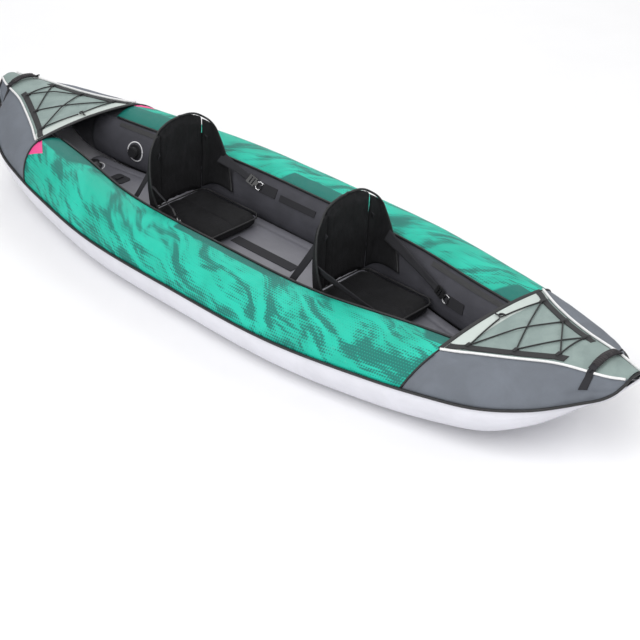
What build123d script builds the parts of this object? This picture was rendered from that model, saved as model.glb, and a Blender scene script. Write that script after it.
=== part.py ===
"""Two-seat inflatable touring kayak: air chambers, skins, decks, lacing, handles, valves and seats.

Millimetres. Origin under the middle of the hull on the ground, +X to the bow, +Y to port, +Z up.
"""

import os
from math import cos, radians, sin, sqrt, tan

from build123d import *

# ---- driving dimensions -------------------------------------------------------------------
hull_length = 3200
hull_beam = 910
tube_radius = 135          # side air chambers amidships, outside of the fabric
skin = 2.5                 # coated fabric with its seams
layer_gap = 0.6            # between a skin and the chamber inside it
touch_gap = 0.3            # between pieces that rest on one another
ground_clearance = 0.5     # under the tubes, above the bottom panel's own face
piping_radius = 4
chine_angle = 9            # chine piping above the tube's equator
rim_angle = 124            # cockpit rim, past the top of the tube
wall_foot_angle = 205      # inner wall's lower edge
corner_angle = 78          # deck corner on the tube
bottom_seam_angle = -84    # where the side skin meets the flat bottom panel

deck_start = 1056          # cockpit edge of each deck
seam_low = 996             # cover and cheek meet here at the chine
deck_thickness = 2.5
wall_end = 1150            # inner walls and floor stop here, under the decks
tube_end = 1440
nose_end = 1574            # last section of the skins, behind the nose piping
webbing_width = 25
webbing_thickness = 2

floor_top = 100
floor_edge_radius = 14
bungee_radius = 2.5
bungee_lift = 2.6          # under the lacing, over the crowned deck

cushion_length = 330
cushion_thickness = 50
cushion_corner = 40
seat_fronts = {"rear": -185, "front": 690}
backrest_height = 343
backrest_thickness = 28
backrest_half_width = 104
backrest_lean = 10
hinge_setback = 297        # from the cushion's front edge to the backrest hinge
hinge_rise = 15            # hinge axis above the cushion
hem_radius = 6
panel_bow = 12             # how far the backrest panel curves round the sitter
panel_foot = 12            # panel's lower edge above the hinge
board_thickness = 3
wing_thickness = 18
side_clearance = 4         # seat to cockpit wall

handle_station = 1490
handle_half_span = 66
handle_axis_height = 338
handle_rise = 17
grip_width = 26
grip_thickness = 14

valve_flange_radius = 30
valve_neck_radius = 19
cap_radius = 21
cap_height = 9

# ---- hull lines: stations along the half length, as shares of it ---------------------------
tube_stations = [0, 0.30, 0.55, 0.70, 0.78, 0.86, 0.90, 0.94, 0.97, 0.99, 1.0]
tube_spread = [1, 0.968, 0.765, 0.640, 0.566, 0.509, 0.440, 0.300, 0.231, 0.141, 0.045]
tube_fullness = [1, 1, 1.02, 0.926, 0.805, 0.505, 0.311, 0.104, 0.074, 0.059, 0.044]
tube_lift = [0, 1, 10, 25, 37, 69, 90, 109, 134, 163, 196]
deck_stations = [0.66, 0.70, 0.78, 0.86, 0.90, 0.94, 0.97, 0.99, 1.0]
deck_spread = [0.527, 0.452, 0.321, 0.207, 0.172, 0.137, 0.103, 0.079, 0.040]
deck_above_tube = [4, 5, 20, 45, 55, 65, 45, 20, 4]
deck_crown = [33, 31, 25, 16, 14, 13, 12, 10, 4]

half_length = hull_length / 2
middle_spread = hull_beam / 2 - tube_radius - 2 * piping_radius
middle_height = tube_radius + skin + ground_clearance
os.makedirs("parts", exist_ok=True)


def write_part(builder, name):
    """Labels a finished piece and writes it under its own name."""
    builder.part.label = name
    export_step(builder.part, f"parts/{name}.step")


def along(stations, values, x):
    """Reads a row of the hull lines smoothly at a distance x from midships."""
    u = min(max(abs(x) / half_length, stations[0]), stations[-1])
    count = len(stations)
    i = max(k for k in range(count - 1) if stations[k] <= u)

    def slope(k):
        low, high = max(k - 1, 0), min(k + 1, count - 1)
        if k == 0:
            return 0
        return (values[high] - values[low]) / (stations[high] - stations[low])

    step = stations[i + 1] - stations[i]
    t = (u - stations[i]) / step
    rise = values[i + 1] - values[i]
    start, end = slope(i) * step, slope(i + 1) * step
    return values[i] + start * t + (3 * rise - 2 * start - end) * t**2 + (start + end - 2 * rise) * t**3


def tube_y(x):
    return middle_spread * along(tube_stations, tube_spread, x)


def tube_z(x):
    return middle_height + along(tube_stations, tube_lift, x)


def tube_r(x):
    return tube_radius * along(tube_stations, tube_fullness, x)


def tube_point(x, angle, out=0, side=1):
    """A point on the side tube in a cross-section; angle from the outer equator, over the top."""
    radius = tube_r(x) + out
    return (
        side * (tube_y(x) + radius * cos(radians(angle))),
        tube_z(x) + radius * sin(radians(angle)),
    )


def deck_edge(x, out=0, side=1):
    """The deck's outer edge in a cross-section; behind the deck it runs on along the tube."""
    if abs(x) < deck_start:
        return tube_point(x, corner_angle, out, side)
    top = tube_z(x) + tube_r(x) + along(deck_stations, deck_above_tube, x)
    return (side * (hull_beam / 2 * along(deck_stations, deck_spread, x) + out / 4), top + out)


def deck_height(x, y):
    """Height of the crowned deck's upper face at a point in plan."""
    edge_y, edge_z = deck_edge(x)
    crown = along(deck_stations, deck_crown, x)
    radius = (edge_y**2 + crown**2) / (2 * crown)
    return edge_z + crown - radius + sqrt(radius**2 - y**2)


def cockpit_half_width(x):
    return tube_y(x) - tube_r(x)


def section_plane(x):
    return Plane(origin=(x, 0, 0), x_dir=(0, 1, 0), z_dir=(1, 0, 0))


def hull_grid():
    """Section places shared by all hull pieces: closer together where the ends taper."""
    half = [0, 150, 300]
    while half[-1] < half_length:
        step = 60 if half[-1] < 1200 else 40 if half[-1] < handle_station - 50 else 25
        half.append(half[-1] + step)
    return [-x for x in half[:0:-1]] + half


def stations_between(start, end):
    """The two ends of a piece, and the shared section places between them."""
    inside = [x for x in hull_grid() if start + 5 < x < end - 5]
    return [start] + inside + [end]


def arc_band(x, outer, inner):
    """A thin curved strip in a cross-section between two arcs of three points each."""
    with BuildSketch(section_plane(x)) as band:
        with BuildLine():
            ThreePointArc(*outer)
            Line(outer[2], inner[2])
            ThreePointArc(*reversed(inner))
            Line(inner[0], outer[0])
        make_face()
    return band.sketch


def tube_band(x, low_angle, high_angle, side, out=0, thickness=skin):
    """A strip round the tube from one angle to another, its outer face out from the fabric."""
    angles = (low_angle, (low_angle + high_angle) / 2, high_angle)
    outer = [tube_point(x, a, out, side) for a in angles]
    inner = [tube_point(x, a, out - thickness, side) for a in angles]
    return arc_band(x, outer, inner)


def corded_path(points, close=False):
    """Straight runs joined by tangent arcs as large as the runs allow."""
    count = len(points)
    vectors = [Vector(*p) for p in points]
    corners = range(count) if close else range(1, count - 1)
    radii = []
    for k in corners:
        before = vectors[k] - vectors[k - 1]
        after = vectors[(k + 1) % count] - vectors[k]
        turn = before.get_angle(after)
        radii.append(0.45 * min(before.length, after.length) / tan(radians(turn / 2)))
    return FilletPolyline(*points, radius=radii, close=close), min(radii)


def round_cord(points, radius, close=False):
    """A round cord along its route."""
    with BuildPart() as cord:
        with BuildLine() as route:
            path, tightest = corded_path(points, close)
        start = route.line @ 0
        with BuildSketch(Plane(origin=start, z_dir=route.line % 0)):
            Circle(radius)
        sweep(path=route.line)
    return cord.part


def surface_plane(origin, along_axis, normal):
    """A plane lying on a skin: local X along the hull, local Z away from the skin."""
    return Plane(origin=origin, x_dir=along_axis, z_dir=normal)


def wall_plane(x, angle, side, out=0):
    """The plane that touches the cockpit wall at a station and angle."""
    step = 5
    y, z = tube_point(x, angle, out, side)
    ahead = tube_point(x + step, angle, out, side)
    behind = tube_point(x - step, angle, out, side)
    tangent = Vector(2 * step, ahead[0] - behind[0], ahead[1] - behind[1]).normalized()
    radial = Vector(0, side * cos(radians(angle)), sin(radians(angle)))
    normal = (radial - tangent * radial.dot(tangent)).normalized()
    return surface_plane((x, y, z), tangent, normal)


# ---- air chambers --------------------------------------------------------------------------
def tube_sketch(x, inset, side):
    with BuildSketch(section_plane(x)) as ring:
        with Locations((side * tube_y(x), tube_z(x))):
            Circle(tube_r(x) - inset - end_slack(x))
    return ring.sketch


def end_slack(x):
    """Extra room between a chamber's tapering end and the cheek over it."""
    return 6 * min(max((abs(x) - 960) / 100, 0), 1)


def air_chamber(side, name):
    """One hollow side chamber, tapering and rising at both ends."""
    stations = stations_between(-tube_end, tube_end)
    inner_end = tube_end - skin
    inner_stations = [-inner_end] + stations[1:-1] + [inner_end]
    outside = skin + layer_gap
    with BuildPart() as chamber:
        loft(sections=[tube_sketch(x, outside, side) for x in stations], ruled=True)
        inside = [tube_sketch(x, outside + skin, side) for x in inner_stations]
        loft(sections=inside, ruled=True, mode=Mode.SUBTRACT)
    write_part(chamber, name)


def floor_half_width(x):
    """The floor's half width where its top edge meets the tubes."""
    drop = floor_top - tube_z(x)
    return tube_y(x) - sqrt(tube_r(x) ** 2 - drop**2) - layer_gap - touch_gap


def floor_sketch(x, inset):
    bottom = tube_z(x) - tube_r(x) - ground_clearance + touch_gap + inset
    height = floor_top - inset - bottom
    with BuildSketch(section_plane(x)) as section:
        with Locations((0, bottom + height / 2)):
            RectangleRounded(2 * (floor_half_width(x) - inset), height, floor_edge_radius - inset)
    return section.sketch


def floor_chamber():
    """The hollow inflatable floor between the side chambers."""
    floor_end = wall_end - 20
    with BuildPart() as chamber:
        stations = stations_between(-floor_end, floor_end)
        loft(sections=[floor_sketch(x, 0) for x in stations], ruled=True)
        inner_stations = [skin - floor_end] + stations[1:-1] + [floor_end - skin]
        inside = [floor_sketch(x, skin) for x in inner_stations]
        loft(sections=inside, ruled=True, mode=Mode.SUBTRACT)
    write_part(chamber, "floor_air_chamber")


# ---- skins ---------------------------------------------------------------------------------
def seam_knife(direction):
    """The slanting plane where a side cover meets the cheek, at the bow (1) or stern (-1)."""
    low_z = tube_point(seam_low, chine_angle)[1]
    high_z = deck_edge(deck_start)[1]
    slope = Vector(direction * (deck_start - seam_low), 0, high_z - low_z)
    normal = Vector(0, 1, 0).cross(slope) * direction
    return Plane(origin=(direction * seam_low, 0, low_z), x_dir=(0, 1, 0), z_dir=normal)


def side_cover(side, name):
    """Printed cover from the chine over the tube to the cockpit rim."""
    with BuildPart() as cover:
        stations = stations_between(-deck_start, deck_start)
        loft(sections=[tube_band(x, chine_angle, rim_angle, side) for x in stations], ruled=True)
        split(bisect_by=seam_knife(1), keep=Keep.BOTTOM)
        split(bisect_by=seam_knife(-1), keep=Keep.BOTTOM)
    write_part(cover, name)


def inner_wall(side, name):
    """Dark wall of the cockpit from the rim down past the floor's edge."""
    with BuildPart() as wall:
        stations = stations_between(-wall_end, wall_end)
        loft(sections=[tube_band(x, rim_angle, wall_foot_angle, side) for x in stations], ruled=True)
    write_part(wall, name)


def cheek_arc(x, side, inset=0):
    """Chine, fullest point and deck edge of the cheek in a cross-section."""
    middle = (chine_angle + corner_angle) / 2
    return [
        tube_point(x, chine_angle, -inset, side),
        tube_point(x, middle, -inset, side),
        deck_edge(x, -inset, side),
    ]


def cheek(direction, side, name):
    """Grey end panel from the chine up to the deck edge, out to the nose."""
    first = seam_low - 12
    stations = stations_between(first, nose_end)
    with BuildPart() as panel:
        loft(
            sections=[arc_band(x, cheek_arc(x, side), cheek_arc(x, side, skin)) for x in stations],
            ruled=True,
        )
        split(bisect_by=seam_knife(1), keep=Keep.TOP)
        if direction < 0:
            mirror(about=Plane.YZ, mode=Mode.REPLACE)
    write_part(panel, name)


def lower_skin(side, name):
    """Pale side of the bottom from the chine round under the tube."""
    with BuildPart() as panel:
        stations = stations_between(-nose_end, nose_end)
        bands = [tube_band(x, bottom_seam_angle, chine_angle, side) for x in stations]
        loft(sections=bands, ruled=True)
    write_part(panel, name)


def bottom_sketch(x):
    half = tube_point(x, bottom_seam_angle)[0]
    top = tube_z(x) - tube_r(x) - ground_clearance
    with BuildSketch(section_plane(x)) as strip:
        with Locations((0, top - skin / 2)):
            Rectangle(2 * half, skin)
    return strip.sketch


def bottom_panel():
    """Flat bottom between the two side skins, rising to both noses."""
    with BuildPart() as panel:
        stations = stations_between(-nose_end, nose_end)
        loft(sections=[bottom_sketch(x) for x in stations], ruled=True)
    write_part(panel, "bottom_panel")


# ---- decks ---------------------------------------------------------------------------------
def deck_sketch(x, rise=0, thickness=deck_thickness, inset=6 * touch_gap):
    edge_y, edge_z = deck_edge(x)
    half = edge_y - inset
    edge_z = deck_height(x, half)
    middle = deck_height(x, 0)
    outer = [(-half, edge_z + rise), (0, middle + rise), (half, edge_z + rise)]
    inner = [(y, z - thickness) for y, z in outer]
    return arc_band(x, outer, inner)


def both_ends(bow_part, stem):
    """Writes a bow piece and its mirror image at the stern."""
    with BuildPart() as bow:
        add(bow_part)
    write_part(bow, f"bow_{stem}")
    with BuildPart() as stern:
        add(bow_part)
        mirror(about=Plane.YZ, mode=Mode.REPLACE)
    write_part(stern, f"stern_{stem}")


def deck_panel():
    with BuildPart() as deck:
        loft(sections=[deck_sketch(x) for x in stations_between(deck_start, nose_end)], ruled=True)
    both_ends(deck.part, "deck_panel")


def deck_bindings():
    """Folded black tape round the cockpit edge of each deck, one at each end."""
    tape_width = 12
    with BuildPart() as tapes:
        for direction in (1, -1):
            start = deck_start - touch_gap - tape_width
            with BuildSketch(section_plane(direction * start)):
                add(deck_tape(direction, start))
            extrude(amount=direction * tape_width)
    write_part(tapes, "deck_bindings")


def deck_tape(direction, start):
    half = deck_edge(deck_start)[0] - piping_radius
    edge_z = deck_height(deck_start, half)
    middle = deck_height(deck_start, 0)
    with BuildSketch() as tape:
        with BuildLine():
            ThreePointArc((-half, edge_z + 1), (0, middle + 1), (half, edge_z + 1))
            Line((half, edge_z + 1), (half, edge_z - 4))
            ThreePointArc((half, edge_z - 4), (0, middle - 4), (-half, edge_z - 4))
            Line((-half, edge_z - 4), (-half, edge_z + 1))
        make_face()
    return tape.sketch


def deck_piping():
    """White piping along both edges of both decks."""
    lift = piping_radius + touch_gap
    route = []
    for x in stations_between(deck_start, nose_end - 4):
        y, z = deck_edge(x)
        route.append((x, y + 0.6 * lift, z + 0.8 * lift))
    with BuildPart() as piping:
        add(round_cord(route, piping_radius - 0.5))
        mirror(about=Plane.XZ)
        mirror(about=Plane.YZ)
    write_part(piping, "deck_piping")


def strip_line(x):
    """Distance of the lacing strip's middle from the centreline."""
    return deck_edge(x)[0] - 12 - webbing_width / 2


def strip_sketch(x):
    half = webbing_width / 2
    low, high = strip_line(x) + half, strip_line(x) - half
    lift = touch_gap + 0.4
    with BuildSketch(section_plane(x)) as strip:
        with BuildLine():
            Polyline(
                (low, deck_height(x, low) + lift),
                (high, deck_height(x, high) + lift),
                (high, deck_height(x, high) + lift + webbing_thickness),
                (low, deck_height(x, low) + lift + webbing_thickness),
                close=True,
            )
        make_face()
    return strip.sketch


lacing_stations = (1112, 1243, 1365)
strip_end = 1396


def lacing_strips():
    """Sewn webbing along each deck edge that carries the bungee loops."""
    with BuildPart() as strips:
        loft(sections=[strip_sketch(x) for x in stations_between(deck_start + 8, strip_end)], ruled=True)
        mirror(about=Plane.XZ)
        mirror(about=Plane.YZ)
    write_part(strips, "lacing_strips")


def on_deck(x, y, extra=0):
    return (x, y, deck_height(x, y) + bungee_radius + bungee_lift + extra)


def bungee_route():
    """Crossed lacing: out to the rear loop, forward in a zigzag, back the other way."""
    rear, middle, front = lacing_stations
    reach = [strip_line(x) - webbing_width / 2 - bungee_radius - 1 for x in lacing_stations]
    corners = [
        (1094, 12),
        (rear, reach[0]),
        (middle, -reach[1]),
        (front, reach[2]),
        (front + 3, -reach[2]),
        (middle + 3, reach[1]),
        (rear + 3, -reach[0]),
        (1094, -12),
    ]
    over = 2 * bungee_radius + 1.2
    lifts = [0, 0, 0, 0, over, over, 0]
    route = [on_deck(*corners[0])]
    for k, (start, end) in enumerate(zip(corners, corners[1:])):
        for share, weight in ((0.3, 0.6), (0.5, 1), (0.7, 0.6)):
            x = start[0] + (end[0] - start[0]) * share
            y = start[1] + (end[1] - start[1]) * share
            route.append(on_deck(x, y, lifts[k] * weight))
        route.append(on_deck(*end))
    return route


def bungees():
    """Elastic deck lacing with its two ends tied at the deck's edge."""
    with BuildPart() as lacing:
        add(round_cord(bungee_route(), bungee_radius))
    both_ends(lacing.part, "bungee")


def knots():
    """Tied ends of the lacing and the short cord that anchors them to the deck's edge."""
    with BuildPart() as knot:
        with Locations((1089, 0, on_deck(1089, 0)[2] + 2)):
            Box(12, 20, 9)
        fillet(knot.edges(), 3)
        height = on_deck(1068, 0)[2] - 1.2
        with Locations((1069.5, 0, height)):
            Box(26, 2 * bungee_radius, 2 * bungee_radius)
    both_ends(knot.part, "bungee_knot")


# ---- pipings -------------------------------------------------------------------------------
def piping_lift(x, angle):
    """How far out a piping's middle sits in a cross-section, more where the hull line slants."""
    ahead, behind = Vector(*tube_point(x + 8, angle)), Vector(*tube_point(x - 8, angle))
    slant = (ahead - behind).length / 16
    return (piping_radius + 2 * touch_gap) * sqrt(1 + slant**2)


def chine_piping():
    """Black piping along the chine, swept up round both noses in one loop."""
    quarter = []
    for x in [x for x in hull_grid() if 0 <= x < nose_end - 20] + [nose_end - 2]:
        y, z = tube_point(x, chine_angle, piping_lift(x, chine_angle))
        quarter.append((x, y, z))
    tip = half_length - piping_radius
    quarter.append((tip, 16, tube_z(half_length) + 4))
    starboard_bow = [(x, -y, z) for x, y, z in reversed(quarter)]
    bow = quarter + starboard_bow[:-1]
    stern = [(-x, -y, z) for x, y, z in bow[1:]]
    route = bow + [(0, -quarter[0][1], quarter[0][2])] + stern
    with BuildPart() as piping:
        add(round_cord(route, piping_radius, close=True))
    write_part(piping, "chine_piping")


def rim_piping():
    """Black piping along each side of the cockpit rim."""
    end = deck_start - 16
    route = []
    for x in stations_between(-end, end):
        route.append((x, *tube_point(x, rim_angle, piping_lift(x, rim_angle))))
    with BuildPart() as piping:
        add(round_cord(route, piping_radius))
        mirror(about=Plane.XZ)
    write_part(piping, "rim_piping")


# ---- handles -------------------------------------------------------------------------------
def handle_strap():
    """Webbing arch from one deck edge to the other, with a hem at each end to turn on."""
    half = handle_half_span
    low = handle_axis_height
    top = low + handle_rise
    with BuildPart() as strap:
        with BuildSketch(section_plane(handle_station - webbing_width / 2)):
            with BuildLine():
                ThreePointArc((-half, low + 2), (0, top + 1), (half, low + 2))
                Line((half, low + 2), (half, low - 0.5))
                ThreePointArc((half, low - 0.5), (0, top - 1.5), (-half, low - 0.5))
                Line((-half, low - 0.5), (-half, low + 2))
            make_face()
        extrude(amount=webbing_width)
        for side in (1, -1):
            with Locations((handle_station, side * (half + 6), low)):
                Cylinder(3, 16, rotation=(90, 0, 0))
    both_ends(strap.part, "handle_strap")


def handle_grip():
    """Padded sleeve wrapped round the middle of the arch."""
    half = 46
    low = handle_axis_height
    top = low + handle_rise
    drop = handle_rise * (half / handle_half_span) ** 2
    clear = 1.5 + touch_gap
    with BuildPart() as grip:
        for thickness, width, mode in (
            (grip_thickness / 2, grip_width, Mode.ADD),
            (clear, webbing_width + 2 * touch_gap, Mode.SUBTRACT),
        ):
            reach = half if mode == Mode.ADD else half + 5
            sag = drop if mode == Mode.ADD else handle_rise * (reach / handle_half_span) ** 2
            with BuildSketch(section_plane(handle_station - width / 2)):
                with BuildLine():
                    ThreePointArc(
                        (-reach, top - sag + thickness), (0, top + thickness), (reach, top - sag + thickness)
                    )
                    Line((reach, top - sag + thickness), (reach, top - sag - thickness))
                    ThreePointArc(
                        (reach, top - sag - thickness), (0, top - thickness), (-reach, top - sag - thickness)
                    )
                    Line((-reach, top - sag - thickness), (-reach, top - sag + thickness))
                make_face()
            extrude(amount=width, mode=mode)
    both_ends(grip.part, "handle_grip")


def cheek_spot(x, down, out):
    """A point out from the cheek, at a distance down it from the deck edge."""
    corners = [Vector(0, *point) for point in reversed(cheek_arc(x, 1))]
    arc = Edge.make_three_point_arc(*corners)
    share = down / arc.length
    spot, run = arc @ share, arc % share
    return (spot.Y - run.Z * out, spot.Z + run.Y * out)


def handle_patches():
    """Sewn webbing tabs on the cheeks, each with the loop that the handle turns in."""
    low = handle_axis_height
    eye_y = handle_half_span + 10
    neck_width = 12
    half_width = webbing_width / 2
    tab_length = 46
    tab_top = 9
    reach = (tab_top, tab_top + tab_length / 2, tab_top + tab_length)
    near, far = 1.4, 4.2
    with BuildPart() as patches:
        feet = []
        for x in (handle_station - half_width, handle_station, handle_station + half_width):
            with BuildSketch(section_plane(x)) as foot:
                with BuildLine():
                    inner = [cheek_spot(x, down, near) for down in reach]
                    outer = [cheek_spot(x, down, far) for down in reversed(reach)]
                    ThreePointArc(*inner)
                    Line(inner[2], outer[0])
                    ThreePointArc(*outer)
                    Line(outer[2], inner[0])
                make_face()
            feet.append(foot.sketch)
        loft(sections=feet, ruled=True)
        with BuildSketch(section_plane(handle_station - neck_width / 2)):
            with BuildLine():
                Polyline(
                    (eye_y - 3, low + 5.5),
                    (eye_y + 3, low + 5.5),
                    cheek_spot(handle_station, 8, 9),
                    cheek_spot(handle_station, 22, far),
                    cheek_spot(handle_station, 22, far - 1.5),
                    cheek_spot(handle_station, tab_top, 4),
                    (eye_y - 3, low - 4.5),
                    close=True,
                )
            make_face()
        extrude(amount=neck_width)
        with Locations((handle_station, eye_y, low)):
            Cylinder(3 + touch_gap, 24, rotation=(90, 0, 0), mode=Mode.SUBTRACT)
        mirror(about=Plane.XZ)
        mirror(about=Plane.YZ)
    write_part(patches, "handle_patches")


# ---- valves --------------------------------------------------------------------------------
valve_wall_station = -896
valve_wall_angle = 168
valve_floor_station = -1040


def valve_planes():
    port = wall_plane(valve_wall_station, valve_wall_angle, 1)
    starboard = wall_plane(valve_wall_station, valve_wall_angle, -1)
    floor = Plane(origin=(valve_floor_station, 0, floor_top), x_dir=(1, 0, 0), z_dir=(0, 0, 1))
    return {"port": port, "starboard": starboard, "floor": floor}


def valves():
    """Three inflation valves: a flanged body with a neck, and a turning cap on each."""
    neck_height = 9
    with BuildPart() as bases:
        for plane in valve_planes().values():
            with BuildSketch(plane.offset(touch_gap)):
                Circle(valve_flange_radius)
            extrude(amount=3)
            with BuildSketch(plane.offset(touch_gap + 3)):
                Circle(valve_neck_radius)
            extrude(amount=neck_height - 3)
            with BuildSketch(plane.offset(neck_height + touch_gap)):
                Circle(valve_neck_radius - 5)
            extrude(amount=-6, mode=Mode.SUBTRACT)
    write_part(bases, "valve_bases")
    for name, plane in valve_planes().items():
        with BuildPart() as cap:
            with BuildSketch(plane.offset(neck_height + 2 * touch_gap)):
                Circle(cap_radius)
            extrude(amount=cap_height)
            with BuildSketch(plane.offset(neck_height + 2 * touch_gap + cap_height)):
                Circle(cap_radius)
                with PolarLocations(cap_radius, 12):
                    Circle(2.5, mode=Mode.SUBTRACT)
            extrude(amount=5)
            with BuildSketch(plane.offset(neck_height + 2 * touch_gap)):
                Circle(valve_neck_radius - 5 - touch_gap)
            extrude(amount=-5)
        write_part(cap, f"{name}_valve_cap")


# ---- small fittings ------------------------------------------------------------------------
def skeg_base():
    """Moulded fin base under the stern, with the slot a fin slides into."""
    station = -1120
    step = 60
    top = bottom_face(station)
    slope = Vector(2 * step, 0, bottom_face(station + step) - bottom_face(station - step))
    normal = Vector(0, 1, 0).cross(slope.normalized()) * -1
    plane = Plane(origin=(station, 0, top - 0.6), x_dir=slope.normalized(), z_dir=normal * -1)
    with BuildPart() as base:
        with BuildSketch(plane):
            RectangleRounded(190, 62, 18)
        extrude(amount=3)
        with BuildSketch(plane.offset(3)):
            RectangleRounded(150, 26, 6)
        extrude(amount=12)
        with BuildSketch(plane.offset(15)):
            with Locations((6, 0)):
                Rectangle(146, 7)
        extrude(amount=-9, mode=Mode.SUBTRACT)
    write_part(base, "skeg_base")


def bottom_face(x):
    return tube_z(x) - tube_r(x) - ground_clearance - skin


def floor_strip():
    """Hook-and-loop strip that the seats are set along."""
    with BuildPart() as strip:
        with BuildSketch(Plane.XY.offset(floor_top + touch_gap)):
            with Locations((-20, 0)):
                Rectangle(325, 42)
        extrude(amount=2)
    write_part(strip, "floor_strip")


def floor_patch():
    """Cargo anchor patch on the floor behind the rear seat."""
    with BuildPart() as patch:
        with BuildSketch(Plane.XY.offset(floor_top + touch_gap)):
            with Locations((-876, 0)):
                RectangleRounded(80, 60, 16)
        extrude(amount=2.5)
        with Locations((-876, 0, floor_top + touch_gap + 5)):
            Box(12, 30, 7)
            Box(20, 18, 5, mode=Mode.SUBTRACT)
    write_part(patch, "floor_patch")


def wall_webbing():
    """Sewn webbing on each cockpit wall between the seats."""
    with BuildPart() as webbing:
        with BuildSketch(wall_plane(-50, 150, 1, touch_gap + 0.6)):
            RectangleRounded(190, webbing_width, 2)
        extrude(amount=webbing_thickness)
        mirror(about=Plane.XZ)
    write_part(webbing, "wall_webbing")


def wall_zips():
    """Zips under the rim at both ends of both walls, which open onto the chambers."""
    lift = touch_gap + 2.5
    with BuildPart() as zips:
        stations = stations_between(628, 1010)
        loft(sections=[tube_band(x, 130, 137, 1, out=lift, thickness=2.5) for x in stations], ruled=True)
        mirror(about=Plane.XZ)
        mirror(about=Plane.YZ)
    write_part(zips, "wall_zips")


# ---- seats ---------------------------------------------------------------------------------
hinge_height = floor_top + cushion_thickness + hinge_rise
wing_reach = 96
wing_height = 180
cushion_half_width = cockpit_half_width(seat_fronts["front"]) - side_clearance
wing_tip_y = cockpit_half_width(seat_fronts["front"] - hinge_setback + wing_reach) - side_clearance
strap_height = 285
ring_reach = 20
ring_radius = 2
anchors = {"rear": (-208, 147), "front": (800, 166)}


def back_plane(front, height=0):
    """A plane square to the backrest, height up from its hinge; local X points to the bow."""
    lean = radians(backrest_lean)
    up = Vector(sin(lean), 0, cos(lean))
    origin = Vector(front - hinge_setback, 0, hinge_height) + up * height
    return Plane(origin=origin, x_dir=(cos(lean), 0, -sin(lean)), z_dir=up)


def seat_cushion(name, front):
    """Seat pad with a low upstand under the backrest's hinge."""
    middle = front - cushion_length / 2
    with BuildPart() as cushion:
        with BuildSketch(Plane.XY.offset(floor_top + touch_gap + 2.3)):
            with Locations((middle, 0)):
                RectangleRounded(cushion_length, 2 * cushion_half_width, cushion_corner)
        extrude(amount=cushion_thickness - touch_gap - 2.3)
        fillet(cushion.faces().sort_by(Axis.Z)[-1].edges(), 14)
        upstand = hinge_rise - hem_radius - touch_gap
        with Locations((front - hinge_setback, 0, floor_top + cushion_thickness - 1 + (upstand + 1) / 2)):
            Box(7, 2 * backrest_half_width - 20, upstand + 1)
    write_part(cushion, f"{name}_seat_cushion")


def back_view(front):
    """The backrest seen square on: local X to port, local Y up its lean, local Z to the bow."""
    plane = back_plane(front)
    return Plane(origin=plane.origin, x_dir=(0, 1, 0), z_dir=plane.x_dir)


def seat_back(name, front):
    """Padded centre panel of the backrest, with a pocket for its stiffening board."""
    half = backrest_half_width
    shoulder = backrest_height - 0.9 * half
    face = panel_bow - hem_radius / 2
    rear = face - backrest_thickness
    with BuildPart() as back:
        with BuildSketch(back_plane(front, panel_foot)):
            with BuildLine():
                ThreePointArc((face, -half), (face - panel_bow, 0), (face, half))
                Line((face, half), (rear, half))
                ThreePointArc((rear, half), (rear - panel_bow, 0), (rear, -half))
                Line((rear, -half), (face, -half))
            make_face()
        extrude(amount=backrest_height)
        with BuildSketch(back_view(front).offset(-60)):
            with BuildLine():
                Polyline((-half, shoulder), (-half, 0), (half, 0), (half, shoulder))
                ThreePointArc((half, shoulder), (0, backrest_height), (-half, shoulder))
            make_face()
        extrude(amount=120, mode=Mode.INTERSECT)
        with BuildSketch(back_plane(front)):
            with Locations((face - panel_bow - 6, 0)):
                Rectangle(6, 2 * half - 24)
        extrude(amount=panel_foot + 2)
        hem = Plane(origin=back_plane(front).origin, x_dir=(1, 0, 0), z_dir=(0, 1, 0))
        with BuildSketch(hem):
            Circle(hem_radius)
            with Locations((-5, 0)):
                Rectangle(10, 6)
        extrude(amount=half - 12, both=True)
        add(board_solid(front, touch_gap), mode=Mode.SUBTRACT)
    write_part(back, f"{name}_seat_back")
    with BuildPart() as board:
        add(board_solid(front, 0))
    write_part(board, f"{name}_seat_board")


def board_solid(front, grow):
    """Stiffening board inside the backrest, or its pocket when grown."""
    half = backrest_half_width - 26
    plane = back_plane(front, 40 - grow)
    with BuildPart() as board:
        with BuildSketch(plane):
            with Locations((-3 - backrest_thickness / 2, 0)):
                Rectangle(board_thickness + 2 * grow, 2 * (half + grow))
        extrude(amount=backrest_height - 110 + 2 * grow)
    return board.part


def seat_wings(name, front):
    """Soft side wings that wrap round the sitter, sewn to the panel's edges."""
    inner = backrest_half_width + 0.5
    with BuildPart() as wings:
        with BuildSketch(back_plane(front, 24)):
            with BuildLine():
                Polyline(
                    (8, inner),
                    (wing_reach, wing_tip_y - 8),
                    (wing_reach - 6, wing_tip_y),
                    (wing_reach - 22, wing_tip_y),
                    (-8, inner),
                    close=True,
                )
            make_face()
        extrude(amount=wing_height)
        mirror(about=Plane.XZ)
    write_part(wings, f"{name}_seat_wings")


def strap_start(name, side):
    """Where the seat's front strap leaves the wing."""
    front = seat_fronts[name]
    lean = tan(radians(backrest_lean))
    rise = strap_height - hinge_height
    x = front - hinge_setback + wing_reach * cos(radians(backrest_lean)) + rise * lean
    return Vector(x + 2.5, side * (wing_tip_y - 5), strap_height)


def anchor_plane(name, side):
    station, angle = anchors[name]
    return wall_plane(station, angle, side, touch_gap + 0.5)


def ring_plane(name, side):
    """The D-ring's own plane: origin on its bar, local X along the pull, local Y along the bar."""
    patch = anchor_plane(name, side)
    bar = patch.origin - patch.x_dir * 40 + patch.z_dir * 6.5
    pull = (strap_start(name, side) - bar).normalized()
    across = patch.y_dir - pull * patch.y_dir.dot(pull)
    return Plane(origin=bar, x_dir=pull, z_dir=pull.cross(across.normalized()))


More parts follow.
